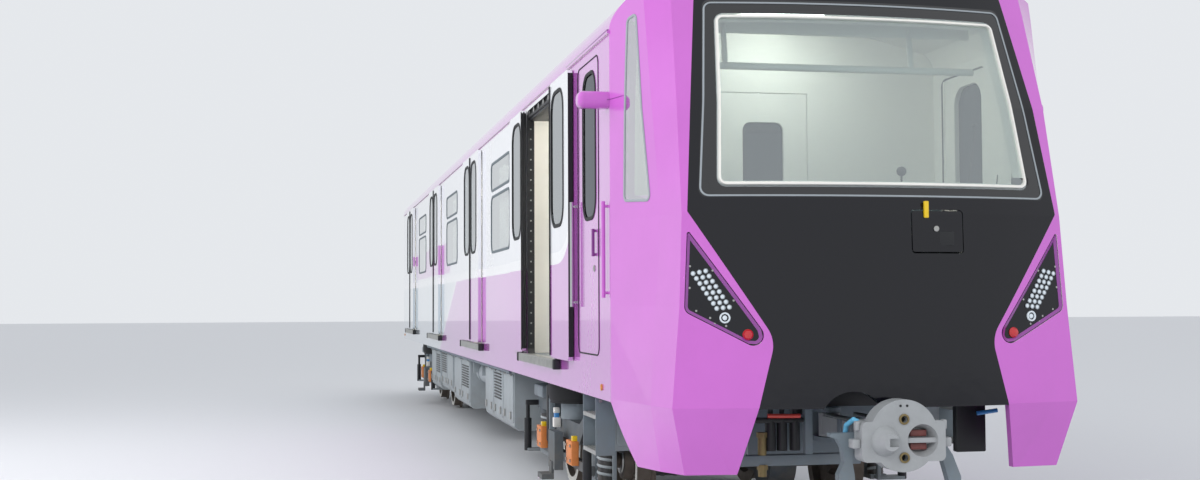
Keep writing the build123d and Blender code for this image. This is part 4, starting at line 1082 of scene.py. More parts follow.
@dataclass
class CarBody:
    """Side walls, roof, end wall, underframe and the glass of the saloon."""

    roof_edge: float = 3.42  # the side's lacquer ends here, over the rail top
    skirt: float = 1.02
    floor: float = 1.16
    wall: float = 0.06
    window: Pair = (1.30, 0.53)
    window_z: float = 2.36
    hopper: Pair = (1.30, 0.25)
    hopper_z: float = 2.825
    glass_gap: float = 0.036  # between a pane and its opening, both sides together
    units: Pair = (4.6, 13.4)  # where the two roof units start
    unit_top: float = 3.68
    fan: float = 0.27
    end_wall: float = 19.79
    gangway: Pair = (1.42, 2.10)

    def dress(self) -> None:
        """Lacquer outside, lining inside and black plastic in every reveal."""
        for side, sign in SIDES:
            def pick(place: Vector, normal: Vector) -> int:
                """Pick a wall face's finish.

                Args:
                    place: The face's middle.
                    normal: The face's direction.

                Returns:
                    0 outside and under the skirt, 1 inside and 2 in the reveals.
                """
                if normal.x * sign > 0.5 or place.z < self.skirt + RAIL_TOP_Z:
                    return 0
                return 1 if normal.x * sign < -0.5 else 2
            dress(f"side_wall_{side}", (SIDE_PAINT, LINING, BLACK_PLASTIC), pick)
        centre = car(0, 10, 2.2)

        def roof(place: Vector, normal: Vector) -> int:
            """Pick a roof face's finish.

            Args:
                place: The face's middle.
                normal: The face's direction.

            Returns:
                0 on the cantrail, 1 on the roof sheet and 2 inside.
            """
            if (Vector((place.x, centre.y, place.z)) - centre).dot(normal) < 0:
                return 2
            return 1 if place.z > self.roof_edge + RAIL_TOP_Z else 0
        dress("roof_shell", (SIDE_PAINT, ROOF_PAINT, CEILING), roof)
        dress("rear_end_wall", (SIDE_PAINT, LINING), lambda place, normal: normal.y < -0.5)
        dress("gangway_bellows", (RUBBER,))
        dress("underframe", (FRAME_PAINT, FLOORING),
              lambda place, normal: normal.z > 0.9 and place.z > self.floor + RAIL_TOP_Z)
        dress("saloon_glass", (CLEAR_GLASS,))
        dress("roof_units", (CASE_PAINT,))

    def window_seals(self) -> None:
        """Rubber round each fixed pane and each hopper outside, frames and catches inside."""
        seals_and_gap_shade, frames = kit = Kit(saloon_window_seals=GREY_RUBBER, saloon_window_frames=BLACK_PLASTIC)
        lining = HALF_WIDTH - self.wall
        panes = ((self.window, self.window_z, 0.09), (self.hopper, self.hopper_z, 0.06))
        for centre in WINDOW_CENTRES:
            for (wide, high), z, radius in panes:
                size = (wide + self.glass_gap, high + self.glass_gap)
                seals_and_gap_shade.frame(size, radius + self.glass_gap / 2, 0.024, 0.004,
                            Plane.RIGHT.at(HALF_WIDTH, centre, z))
                frames.frame(size, radius, 0.045, 0.012, Plane.LEFT.at(lining, centre, z))
            frames.block((lining - 0.025, centre - 0.09, 2.90), (lining - 0.002, centre + 0.09, 2.925),
                         0.004)
        kit.settle()

    def roof_fittings(self) -> None:
        """Grilles and fans of the air conditioning, lifting eyes, cable covers and antennas."""
        grilles, fans, caps = kit = Kit(
            roof_unit_grilles=BLACK_PLASTIC, roof_unit_fans=FRAME_PAINT, roof_lids_and_antennas=ROOF_PAINT)
        up = Vector((0, 0, 1))
        eye = [(0, 0), (0, 0.03), (0.02, 0.03), (0.028, 0.018), (0.03, 0)]
        antenna = [(0, 0), (0, 0.05), (0.015, 0.05), (0.04, 0.03), (0.06, 0)]
        guard = [(0, 0), (0, self.fan), (0.012, self.fan), (0.016, 0.25), (0.012, 0.23), (0.004, 0.2),
                 (0.004, 0)]
        for start in self.units:
            for place in (car(x, start + y, self.unit_top + MM) for x in (-0.35, 0.35) for y in (0.7, 2.6)):
                fans.turned(guard, place, up)
                for u, v in circle(8):
                    arm = Vector((u, v, 0))
                    fans.bar(place + arm * 0.05 + up * 0.008, place + arm * 0.25 + up * 0.008, 0.006, 6)
            for side in (-1, 1):
                for i in range(22):
                    y = start + 1.15 + i * 0.045
                    grilles.block((side * 0.72, y, 3.655), (side * 0.80, y + 0.02, 3.622), 0.003)
            for x in (-0.62, 0.62):
                for y in (start + 0.15, start + 3.15):
                    caps.turned(eye, (x, y, self.unit_top), up, 16)
            caps.block((-0.68, start + 1.62, self.unit_top - MM), (0.68, start + 1.68, 3.688), 0.003)
        for y in (2.0, 2.5):
            caps.turned(antenna, (0, y, 3.605), up, 20)
        kit.settle(side=1)

    def roof_beads(self) -> None:
        """The pressed beads that run along the roof sheet, clear of the units."""
        crown, edge = 3.606, 1.262      # the roof's height on its middle line, and where its bend starts
        beads = Shape()
        for i in range(9):
            x = 0.24 * (i - 4)
            z = crown - 0.198 * (x / edge) ** 2
            for y0, y1 in ((8.1, 13.2), (16.9, 19.6)):
                beads.block((x - 0.012, y0, z - 0.004), (x + 0.012, y1, z + 0.01), 0.004)
        beads.settle("roof_sheet_beads", ROOF_PAINT, slot="roof_paint")

    def rear_end(self) -> None:
        """Face frame of the gangway, corner handrails, jumper sockets, lifting lugs and tail lamps."""
        frame, rails, sockets, lamps = kit = Kit(
            gangway_face_frame=SILL_ALLOY, rear_corner_handrails=CAB_LACQUER,
            rear_jumper_sockets=BLACK_PLASTIC, rear_marker_lamps=RED_LENS)
        face, grip = self.end_wall, 0.06
        frame.frame(self.gangway, 0.14, 0.07, 0.02, Plane.BACK.at(0, 20.065, 2.147))
        for sign in (-1, 1):
            x = sign * 1.18
            rails.pipe([(x, face, 1.5), (x, face + grip, 1.5), (x, face + grip, 2.2),
                        (x, face, 2.2)], 0.014)
            for z in (1.35, 1.62):
                sockets.block((sign * 0.86, face, z), (sign * 1.02, face + 0.08, z + 0.16), 0.012)
                sockets.bar((sign * 0.94, face + 0.08, z + 0.08), (sign * 0.94, face + 0.12, z + 0.05),
                            0.05, 20)
            lamps.turned([(0, 0), (0, 0.05), (0.02, 0.045), (0.03, 0)], (sign * 1.0, face - 0.002, 2.95),
                         (0, 1, 0), 24)
            for z in (1.25, 1.9, 2.5, 3.0):
                sockets.block((sign * 1.27, face, z), (sign * 1.31, face + 0.01, z + 0.06), 0.004)
        kit.settle(side=1)

    def build(self) -> None:
        """Build the trim of the body shell."""
        self.window_seals()
        self.roof_fittings()
        self.roof_beads()
        self.rear_end()
        markers = Shape()
        markers.bolts([(HALF_WIDTH, 1.516, 1.055), (HALF_WIDTH, 19.5, 1.05)], (1, 0, 0), 0.02, 0.008, 20)
        markers.both_sides().settle("side_markers", MARKER_ORANGE)


@dataclass
class CabFront:
    """The moulded mask with its panel, windscreen, lamps and flap. Outlines are pairs of x and z."""

    glass: tuple = ((-1.034, 2.163), (1.034, 2.163), (0.915, 3.316), (-0.915, 3.316))
    inner: tuple = ((-0.934, 2.222), (0.934, 2.222), (0.861, 3.241), (-0.861, 3.241))
    glass_radius: float = 0.05
    lamp: tuple = ((1.106, 1.984), (0.572, 1.233), (1.131, 1.527))
    lamp_radii: tuple = (0.010, 0.058, 0.048)
    array: tuple = ((1.075, 1.736), (1.007, 1.750), (0.952, 1.544), (0.884, 1.551))
    rows: int = 8
    columns: int = 3
    ring: Pair = (0.909, 1.492)
    red: Pair = (0.786, 1.400)
    lens: float = 0.03  # the ring lamp's and the red lamp's radius
    screws: tuple = ((1.091, 1.776), (0.970, 1.752), (1.095, 1.657), (0.860, 1.587), (0.988, 1.492),
                     (0.903, 1.448), (1.062, 1.531), (0.965, 1.460))
    side_window: tuple = ((0.925, 3.28), (0.735, 2.17), (1.066, 2.19), (1.035, 3.262))  # y and z
    crease: tuple = ((1.068, 2.814), (1.256, 2.818))  # y and z of the mask's fine crease
    tag: Pair = (0.245, 2.095)
    lock: Pair = (0.305, 1.985)
    button: Pair = (0.37, 1.93)

    def dress(self) -> None:
        """Orchid mask, black panel and glass."""
        inside = outward(car(0, 1.6, 2.2))
        dress("cab_mask", (CAB_LACQUER, LINING),
              lambda place, normal: place.z > 1.3 and inside(place, normal))
        dress("front_panel", (BLACK_PANEL, BLACK_PLASTIC), inside)
        dress("windscreen", (SCREEN_GLASS,))
        dress("cab_side_glass", (CAB_GLASS,))
        dress("lamp_clusters", (BLACK_PANEL,))
        dress("front_flap", (BLACK_PANEL,))
        dress("camera_pods", (CAB_LACQUER,))
        dress("cab_handrails", (CAB_LACQUER, RAIL_STEEL),
              lambda place, normal: place.y > COUPLING_PLANE_Y + 1.9)

    def hit(self, x: float, z: float) -> tuple[Vector, Vector]:
        """The point of the cab's front at x and z, and the way the surface faces there."""
        place, normal, *_ = self.front.ray_cast(car(x, -20, z), Vector((0, 1, 0)))
        return place, normal

    def on_face(self, x: float, z: float, off: float = 0.0) -> Vector:
        """The point of the cab's front at x and z, moved out by off."""
        place, normal = self.hit(x, z)
        return place + normal * off

    def lenses(self) -> None:
        """The LED array, the ring lamp, the red lamp and the screws of both clusters."""
        cups, bulbs, rings, reds, screws = kit = Kit(
            lamp_array_cups=SOFT_GREY_SEAL, lamp_array_lenses=WHITE_LENS, lamp_rings=WHITE_LENS,
            red_marker_lamps=RED_LENS, lamp_cluster_screws=BARE_STEEL)
        cup = [(0, 0), (0, 0.0138), (0.005, 0.0138), (0.005, 0.0118), (0.002, 0.011), (0.002, 0)]
        ring = [(0, 0.021), (0, self.lens), (0.008, self.lens), (0.011, 0.0261), (0.008, 0.021), (0, 0.021)]
        dome = [(0, 0), (0, self.lens), (0.006, self.lens), (0.018, 0.021), (0.024, 0)]
        a, b, c, d = (Vector((x, 0, z)) for x, z in self.array)
        for row in range(self.rows):
            v = row / (self.rows - 1)
            for column in range(self.columns):
                u = column / (self.columns - 1)
                bulb = a.lerp(b, u).lerp(c.lerp(d, u), v)
                place, out = self.hit(bulb.x, bulb.z)
                cups.turned(cup, place + out * MM, out, 16)
                bulbs.ball(place + out * 2 * MM, 0.0112, 12, (1, 0.5, 1))
        place, out = self.hit(*self.ring)
        rings.turned(ring, place, out, 32)
        bulbs.ball(place, 0.014, 14, (1, 0.5, 1))
        reds.turned(dome, *self.hit(*self.red), 28)
        for screw in self.screws:
            place, out = self.hit(*screw)
            screws.bolts([place], out, 0.006, 0.003, 12)
        kit.settle()

    def seals_and_gap_shade(self) -> None:
        """The thin pale bead round the windscreen, its frame inside and the rims of the lamp clusters."""
        flat = Plane.FRONT.at(0, 0, 0)
        base = car(0, 0, 0).y
        radii = (self.glass_radius,) * 4
        bead = Shape()
        bead.gasket(bead.cornered(self.glass, radii, 0.12), 0.010, 0.004, flat)
        bead.drape(self.front, (0, 1, 0), base).settle("windscreen_bead", SOFT_GREY_SEAL)
        frame = Shape()
        frame.gasket(frame.cornered(self.inner, radii, 0.12), 0.03, 0.08, flat)
        frame.drape(self.front, (0, 1, 0), base - 0.105).settle("windscreen_inner_frame", CEILING)
        rim = Shape()
        face = rim.cornered(self.lamp, self.lamp_radii, 0.10)
        edge = ops.inset_region(rim.bm, faces=[face], thickness=0.005, use_even_offset=True,
                                use_boundary=True)
        ops.delete(rim.bm, geom=edge["faces"], context="FACES")
        rim.ramp(face, 0.017, 0.011, flat)
        cover = surface("lamp_clusters")
        rim.drape(cover, (0, 1, 0), base).both_sides().settle("lamp_cluster_rims", RIM_LACQUER)

    def side_seals(self) -> None:
        """Seals of the tapered windows beside the driver, a painted shadow line along the mask's crease and
        the doors' drip strips, in painted shade.
        """
        seal = Shape()
        hub = Vector((sum(y for y, _ in self.side_window) / 4, sum(z for _, z in self.side_window) / 4))
        grown = [tuple(p + (p - hub).normalized() * 0.012) for p in map(Vector, self.side_window)]
        seal.gasket(seal.cornered(grown, (0.04,) * 4, 0.15), 0.015, 0.004, Plane.RIGHT.at(HALF_WIDTH, 0, 0))
        seal.drape(surface("cab_mask", "cab_side_glass"), (-1, 0, 0), -HALF_WIDTH)
        seal.both_sides().settle("cab_side_window_seals", SOFT_GREY_SEAL)
        (y0, z0), (y1, z1) = self.crease
        # A thin strip in the shaded lacquer along the crease: painted shadow line.
        crease = Shape().block((1.36, y0, z0), (1.364, y1, z1))
        long = [e for e in crease.bm.edges if e.calc_length() > 0.1]
        ops.subdivide_edges(crease.bm, edges=long, cuts=8)
        crease.drape(surface("cab_mask"), (-1, 0, 0), -1.3625)
        crease.both_sides().settle("mask_crease_shadow_lines", SHADED_CAB_LACQUER)
        # The drip strips are in the shaded lacquer: painted shade.
        drip = Shape().block((HALF_WIDTH - 0.02, 1.262, 3.236), (HALF_WIDTH + 0.012, 2.70, 3.25), 0.003)
        drip.both_sides().settle("cab_door_drip_strips", SHADED_CAB_LACQUER)

    def flap_fittings(self) -> None:
        """The flap's tag, lock and button plate, and the cover in the windscreen's lower corner."""
        hook = self.on_face(*self.tag)
        tag = Shape().block(hook + Vector((-0.014, -0.02, -0.05)), hook + Vector((0.014, 0.0, 0.045)), 0.005)
        tag.settle("front_flap_tag", YELLOW_PAINT)
        lock, plate = kit = Kit(front_flap_lock=BARE_STEEL, front_flap_button_plate=BLACK_PLASTIC)
        knob = [(0, 0), (0, 0.016), (0.008, 0.016), (0.012, 0.01), (0.014, 0)]
        lock.turned(knob, self.on_face(*self.lock), (0, -1, 0), 20)
        middle = self.on_face(*self.button)
        plate.block(middle + Vector((-0.045, -0.004, -0.04)), middle + Vector((0.045, 0.01, 0.04)), 0.004)
        kit.settle("front_flap", side=1)
        cover = Shape().block(self.on_face(0.848, 2.20, -0.03),
                              self.on_face(0.848, 2.20, -0.05) + Vector((0.1, 0, 0.1)))
        cover.bar(self.on_face(0.742, 2.22, -0.04), self.on_face(0.775, 2.32, -0.05), 0.004, 8)
        cover.settle("windscreen_corner_cover", BLACK_PLASTIC)

    def build(self) -> None:
        """Build what stands on the mask."""
        self.front = surface("cab_mask", "front_panel", "windscreen", "lamp_clusters", "front_flap")
        self.lenses()
        self.seals_and_gap_shade()
        self.side_seals()
        self.flap_fittings()


@dataclass
class CabDoors:
    """The two doors beside the driver."""

    window: Pair = (0.42, 0.942)
    opening: Pair = (0.706, 1.912)
    pane: Pair = (1.336, 1.348)  # the glass lies between these distances from the middle
    skin: float = 1.351  # the handle lies outside this one

    def dress(self) -> None:
        """Lacquer outside, lining inside, smoked glass in the window."""
        for side, sign in SIDES:
            def pick(place: Vector, normal: Vector) -> int:
                """Pick a cab door face's finish.

                Args:
                    place: The face's middle.
                    normal: The face's direction.

                Returns:
                    0 outside, 1 inside, 2 on the glass and 3 on the handle, in the orchid lacquer darkened
                    as painted shade.
                """
                if abs(normal.x) > 0.9 and self.pane[0] < abs(place.x) < self.pane[1]:
                    return 2
                if abs(place.x) > self.skin:
                    return 3
                return 0 if normal.x * sign > 0.5 else 1
            dress(f"cab_door_{side}", (SIDE_PAINT, LINING, DARK_GLASS, SHADED_CAB_LACQUER), pick)

    def build(self) -> None:
        """Window rubber, lock with its catch, and the rubber round each doorway."""
        for side, sign in SIDES:
            seal, lock = kit = Kit(cab_door_window_seal=RUBBER, cab_door_lock=BARE_STEEL)
            seal.frame((self.window[0] + 0.03, self.window[1] + 0.03), 0.145, 0.024, 0.004,
                       Plane.RIGHT.at(HALF_WIDTH, 1.902, 2.601))
            lock.turned([(0, 0), (0, 0.022), (0.004, 0.022), (0.008, 0.014), (0.008, 0)],
                        (HALF_WIDTH, 1.74, 1.80), (1, 0, 0), 20)
            lock.block((HALF_WIDTH - 0.045, 1.70, 1.86), (HALF_WIDTH - 0.075, 1.80, 1.90), 0.006)
            kit.settle(f"cab_door_{side}", sign, f"_{side}")
            plane = Plane.RIGHT.at(HALF_WIDTH, 1.945, 2.202)
            frame = Shape().frame(self.opening, 0.066, 0.008, 0.003, plane)
            frame.one_side(sign).settle(f"cab_doorway_seal_{side}", RUBBER)


@dataclass
class SaloonDoors:
    """Sixteen sliding leaves with their sills and drive covers."""

    travel: float = 0.7
    window: Pair = (0.486, 0.954)
    window_off: float = 0.322  # from the meeting edge to the window's middle
    leaf: Pair = (1.357, 1.391)  # the leaf's inner and outer face
    pane: Pair = (1.379, 1.390)  # the glass's faces lie between these
    edge: float = 0.74  # from the meeting edge to the outer edge
    half_way: float = 0.7  # half the doorway
    rib_pitch: float = 0.045
    screw_pitch: float = 0.085
    edge_orchid_painted_sheen: str = "#d2a2d8"  # the accent on a leaf's edges, lightened as painted sheen

    def leaves(self) -> Iterator[tuple[str, int, int, float]]:
        """Go through the leaves.

        Returns:
            Each leaf's name, side, way, meeting edge and how far it stands open.
        """
        for side, sign in SIDES:
            for number, centre in enumerate(DOOR_CENTRES, 1):
                opened = self.travel if side == "left" and number == 1 else 0.0
                for half, way in (("front", FRONT), ("rear", REAR)):
                    yield f"leaf_{side}_{number}_{half}", sign, way, centre + way * opened, opened

    def dress(self) -> None:
        """Livery outside, lining inside, rubber edges, painted edges with a painted sheen, and glass."""
        for node, sign, way, meet, opened in self.leaves():
            paint, seam = SIDE_PAINT, car(0, meet, 0).y
            if opened:
                paint = replace(SIDE_PAINT, name=f"{SIDE_PAINT.name}_{node}", shift=way * opened)

            def pick(place: Vector, normal: Vector) -> int:
                """Pick a leaf face's finish.

                Args:
                    place: The face's middle.
                    normal: The face's direction.

                Returns:
                    0 outside, 1 inside, 2 on the rubber, 3 on the glass and 4 on the painted edges, whose
                    orchid is lightened as painted sheen.
                """
                if abs(normal.x) > 0.9 and self.pane[0] < abs(place.x) < self.pane[1]:
                    return 3
                if abs(place.y - seam) < 0.005 or opened and abs(normal.y) > 0.9:
                    return 2
                if abs(normal.y) > 0.9 or abs(normal.z) > 0.4:
                    return 4
                return 1 if normal.x * sign < -0.5 else 0
            # The edges' livery has a lighter orchid: painted sheen, as the grazing side shows.
            edge = replace(paint, name=f"{paint.name}_on_leaf_edge", accent=self.edge_orchid_painted_sheen)
            dress(node, (paint, LINING, RUBBER, DOOR_GLASS, edge), pick)
        dress("door_sills", (SILL_ALLOY,))
        dress("door_headers", (LINING, BLACK_PLASTIC),
              lambda place, normal: abs(place.x) > 1.2 or normal.z < -0.5)

    def trim(self) -> None:
        """Rubber round each leaf's window and along its meeting edge, and a black strip on the inner half of
        its outer edge: painted shade of the gap to the wall.
        """
        inner, outer = self.leaf
        middle = (inner + outer) / 2
        size = (self.window[0] + 0.04, self.window[1] + 0.04)
        for node, sign, way, meet, _ in self.leaves():
            seal = Shape()
            for plane, x in ((Plane.RIGHT, outer), (Plane.LEFT, inner)):
                seal.frame(size, 0.168, 0.026, 0.004, plane.at(x, meet + way * self.window_off, 2.619))
            seal.bar((middle, meet + way * 0.0065, 1.21), (middle, meet + way * 0.0065, 3.18), 0.006, 10)
            seal.block((outer, meet + way * 0.004, 1.20), (outer + 0.009, meet + way * 0.022, 3.18), 0.003)
            edge = meet + way * self.edge
            # Black strip on the inner half of the outer edge: painted shade of the gap between leaf and
            # wall.
            seal.block((inner + MM, edge - way * 0.002, 1.25), (middle, edge + way * 0.002, 3.14), MM, 1)
            seal.one_side(sign).settle(f"{node}_seals", RUBBER, node)

    def doorway(self) -> None:
        """Sill treads, end caps, jamb strips with their screws and the drive over each doorway."""
        treads, caps, strips, screws, drives, rollers = kit = Kit(
            door_sill_treads=SILL_ALLOY, door_sill_end_caps=BLACK_PLASTIC, door_jamb_strips=BLACK_PLASTIC,
            door_jamb_screws=BARE_STEEL, door_drives=BLACK_PLASTIC, door_drive_rollers=BARE_STEEL)
        for centre in DOOR_CENTRES:
            for i in range(int(1.68 / self.rib_pitch)):
                y = centre - 0.82 + i * self.rib_pitch
                treads.block((1.398, y, 1.112), (1.404, y + 0.02, 1.166), 0.002, 1)
            for y in (centre - 0.9, centre + 0.9):
                caps.block((1.352, y - 0.022, 1.103), (1.407, y + 0.022, 1.176), 0.006)
            treads.block((1.30, centre - 0.69, 1.165), (1.349, centre + 0.69, 1.171), 0.002, 1)
            for way in (-1, 1):
                y = centre + way * self.half_way
                face = y - way * 0.004
                strips.block((1.288, y, 1.19), (1.345, face, 3.16), MM, 1)
                screws.bolts([(1.318, face, 1.25 + self.screw_pitch * i) for i in range(22)], (0, -way, 0),
                             0.007, 0.003, 8)
            drives.block((1.16, centre - 0.68, 3.192), (1.33, centre + 0.68, 3.10), 0.01)
            drives.bar((1.335, centre - 0.66, 3.13), (1.335, centre + 0.66, 3.13), 0.012, 12)
            for y in (centre - 0.6 + 0.24 * i for i in range(6)):
                rollers.bar((1.325, y, 3.155), (1.346, y, 3.155), 0.022, 20)
        kit.settle()

    def build(self) -> None:
        """Build the doors' trim and gear."""
        self.trim()
        self.doorway()


@dataclass
class CabRoom:
    """Desk, seat, bulkhead and its door."""

    displays: tuple[float, ...] = (-0.42, 0.0, 0.42)  # the x of each hood on the desk
    # Each microphone's foot, tip and head.
    microphones: tuple = (((0.80, 0.92, 2.02), (0.87, 0.90, 2.66), 0.016),
                          ((0.345, 0.80, 2.27), (0.345, 0.80, 2.36), 0.03))
    # Each pad's size, crown, plane, place and lean.
    pads: tuple = (((0.44, 0.36), 0.045, Plane.TOP, (0, 1.63, 1.639), 0.0),
                   ((0.43, 0.56), 0.045, Plane.FRONT, (0, 1.843, 1.97), -3.6),
                   ((0.43, 0.60), 0.03, Plane.BACK, (0, 1.939, 1.94), 0.0))

    def dress(self) -> None:
        """Grey desk, black plastic seat and laminate walls."""
        dress("driver_desk", (DESK,))
        dress("driver_seat", (BLACK_PLASTIC,))
        dress("cab_bulkhead", (LINING,))
        dress("bulkhead_door", (LINING,))

    def desk(self) -> None:
        """Hoods with displays, buttons, microphones and power handles, and the sun blind's frame."""
        hoods, glass, buttons, levers, blind = kit = Kit(
            desk_instrument_hoods=HOOD_PLASTIC, desk_screens=DISPLAY_GLASS, desk_buttons=RED_PAINT,
            desk_levers=BLACK_PLASTIC, sun_blind_frame=CEILING)
        for x in self.displays:
            hoods.block((x - 0.19, 0.80, 1.99), (x + 0.19, 0.93, 2.28), 0.02)
            glass.block((x - 0.16, 0.925, 2.02), (x + 0.16, 0.936, 2.25), 0.004)
        for foot, tip, size in self.microphones:
            levers.bar(foot, tip, 0.006, 10)
            levers.ball(tip, size, 16)
        for i in range(14):
            x = -0.62 + i * 0.095
            for row in range(2):
                y, z = 0.985 + row * 0.035, 1.958 - row * 0.02
                buttons.bar((x, y, z), (x, y + 0.005, z + 0.016), 0.012, 12, 0.85)
        for x in (-0.74, 0.74):
            levers.bar((x, 0.95, 1.95), (x, 0.99, 2.08), 0.009, 12)
            levers.ball((x, 0.995, 2.10), 0.028, 16)
        for x in (-0.72, 0.46):
            blind.bar((x, 0.90, 2.98), (x, 0.94, 3.24), 0.018, 12)
        blind.bar((-0.86, 0.90, 2.985), (0.86, 0.90, 2.985), 0.022, 12)
        blind.block((-0.86, 0.93, 3.19), (0.86, 0.96, 3.29), 0.01)
        kit.settle(side=1)

    def build(self) -> None:
        """Build the desk's gear, the ceiling light, the seat's pads and the bulkhead door's fittings."""
        self.desk()
        light = Shape().block((-0.25, 1.5, 3.50), (0.25, 2.1, 3.545), 0.01)
        light.settle("cab_ceiling_light", LIGHT_TUBE)
        pads = Shape()
        for size, crown, plane, place, lean in self.pads:
            pads.pad(size, crown, plane.at(*place) @ Matrix.Rotation(math.radians(lean), 4, "X"))
        pads.settle("driver_seat_pads", DRIVER_CLOTH)
        handle, pane = kit = Kit(bulkhead_door_handle=RAIL_STEEL, bulkhead_door_pane=DARK_GLASS)
        x, wall, grip = 0.27, 2.455, 2.51
        handle.pipe([(x, wall, 2.05), (x, grip, 2.05), (x, grip, 2.25), (x, wall, 2.25)], 0.009)
        pane.plate((0.31, 0.71), 0.065, 0.006, Plane.BACK.at(0, 2.446, 2.5))
        kit.settle("bulkhead_door", side=1)


@dataclass
class Saloon:
    """Benches, grab rails, lights and fittings inside."""

    bays: tuple = ((4.92, 7.52), (9.52, 12.12), (14.12, 16.72), (18.72, 19.70))
    seat_wide: float = 0.46
    seam: float = 0.02
    seat_run: Pair = (-20, 370)  # how far a seat falls over its depth, in mm
    back_run: Pair = (-45, 420)
    pole_x: float = 0.76
    rail_z: float = 2.95

    def dress(self) -> None:
        """Laminate benches and steel poles."""
        dress("saloon_benches", (LINING,))
        dress("grab_rails", (RAIL_STEEL,))

    def ceiling(self) -> None:
        """Light strips, vents and the poles' fittings."""
        lights, vents, clamps = kit = Kit(
            ceiling_light_strips=LIGHT_TUBE, ceiling_vents=SILL_ALLOY, grab_rail_fittings=BARE_STEEL)
        for y in (2.75 + i * 1.28 for i in range(13)):
            lights.block((0.36, y, 3.50), (0.46, y + 1.1, 3.455), 0.012)
        for y in (2.8 + i * 0.64 for i in range(26)):
            vents.block((0.06, y, 3.535), (0.16, y + 0.4, 3.52), 0.004)
        x, z = self.pole_x, self.rail_z
        foot = [(0, 0), (0, 0.045), (0.006, 0.045), (0.03, 0.022), (0.03, 0)]
        for y in (centre + way * 0.96 for centre in DOOR_CENTRES for way in (-1, 1)):
            clamps.bar((x, y, z - 0.025), (x, y, z + 0.025), 0.024, 16)
            clamps.bar((x, y - 0.045, z), (x, y + 0.045, z), 0.023, 16)
            clamps.turned(foot, (x, y, 1.166), (0, 0, 1), 20)
        kit.settle()

    def build(self) -> None:
        """Build the ceiling's fittings and the seats' pads with the rails between them."""
        self.ceiling()
        seat_tilt = Matrix.Rotation(math.atan2(*self.seat_run), 4, "Y")
        back_tilt = Matrix.Rotation(math.atan2(*self.back_run), 4, "X")
        arms, pads = Shape(), Shape()
        for start, end in self.bays:
            seats = max(round((end - start) / self.seat_wide), 1)
            wide = (end - start) / seats
            for i in range(seats):
                y = start + wide * (i + 0.5)
                pads.pad((0.34, wide - self.seam), 0.03, Plane.TOP.at(0.985, y, 1.629) @ seat_tilt)
                pads.pad((wide - self.seam, 0.38), 0.03, Plane.LEFT.at(1.190, y, 1.845) @ back_tilt)
                if i:
                    joint = y - wide / 2
                    arms.block((0.80, joint - 0.004, 1.615), (1.14, joint + 0.004, 1.634), 0.002, 1)
        arms.both_sides().settle("bench_dividers", LINING)
        pads.both_sides().settle("bench_pads", SEAT_CLOTH)


@dataclass
class UnderFloor:
    """Cases and tanks under the floor."""

    # Where each case starts and ends, and its underside.
    cases: tuple = ((6.15, 8.297, 0.400), (9.802, 11.597, 0.360), (11.747, 13.304, 0.420),
                    (13.454, 14.95, 0.380))
    case_x: float = 1.24
    case_top: float = 0.90
    lid: float = 0.75  # about how long a lid is
    tank: Pair = (8.456, 9.652)
    tank_at: Pair = (1.06, 0.8)  # the tank's x and z
    pipes: tuple = ((1.30, 0.955, 0.016), (0.42, 1.04, 0.021), (0.36, 1.045, 0.014))  # x, z and radius

    def dress(self) -> None:
        """Powder coated cases and tanks."""
        dress("equipment_cases", (CASE_PAINT,))
        dress("air_tanks", (CASE_PAINT,))

    def build(self) -> None:
        """Case lids with latches and hinges, grilles, tank bands, pipes and clips."""
        lids, latches, grilles, pipes, bands = kit = Kit(
            case_lids=CASE_PAINT, case_latches_and_hinges=BARE_STEEL, case_grilles=BLACK_PLASTIC,
            underfloor_pipes=FRAME_PAINT, tank_bands_and_clips=FRAME_PAINT)
        face = self.case_x + 0.01
        for number, (start, end, low) in enumerate(self.cases):
            count = max(round((end - start) / self.lid), 1)
            step = (end - start) / count
            for i in range(count):
                y0, y1 = start + step * i + 0.03, start + step * (i + 1) - 0.03
                middle = Plane.RIGHT.at(self.case_x, (y0 + y1) / 2, (self.case_top + low + 0.09) / 2)
                lids.plate((y1 - y0, self.case_top - low - 0.05), 0.02, 0.012, middle, 0.003)
                for y in (y0 + 0.12, y1 - 0.12):
                    latches.block((face, y - 0.02, low + 0.10), (face + 0.018, y + 0.02, low + 0.17), 0.004)
                    latches.bar((1.256, y - 0.035, 0.915), (1.256, y + 0.035, 0.915), 0.009, 10)
                if (i + number) % 2:
                    for z in (low + 0.24 + k * 0.03 for k in range(9)):
                        grilles.block((face, y0 + 0.08, z), (face + 0.012, y1 - 0.08, z + 0.014), 0.003, 1)
            for y in (start, (start + end) / 2, end):
                bands.block((1.18, y - 0.02, 0.965), (1.262, y + 0.02, 0.99), 0.004)
        x, z = self.tank_at
        for y in (self.tank[0] + 0.2, self.tank[1] - 0.2):
            bands.bar((x, y - 0.022, z), (x, y + 0.022, z), 0.134, 40)
        dome = [(0, 0), (0, 0.128), (0.03, 0.11), (0.05, 0.06), (0.056, 0)]
        for y, way in zip(self.tank, (-1, 1)):
            bands.turned(dome, (x, y, z), (0, way, 0), 40)
            bands.bar((x, y + way * 0.05, z), (x, y + way * 0.09, z), 0.02, 6)
        for x, z, radius in self.pipes:
            pipes.bar((x, 6.0, z), (x, 15.1, z), radius, 12)
        for y in (6.1 + i * 0.68 for i in range(14)):
            bands.block((1.283, y, 0.935), (1.317, y + 0.03, 0.99), 0.003, 1)
        kit.settle(case_lids="case_paint")


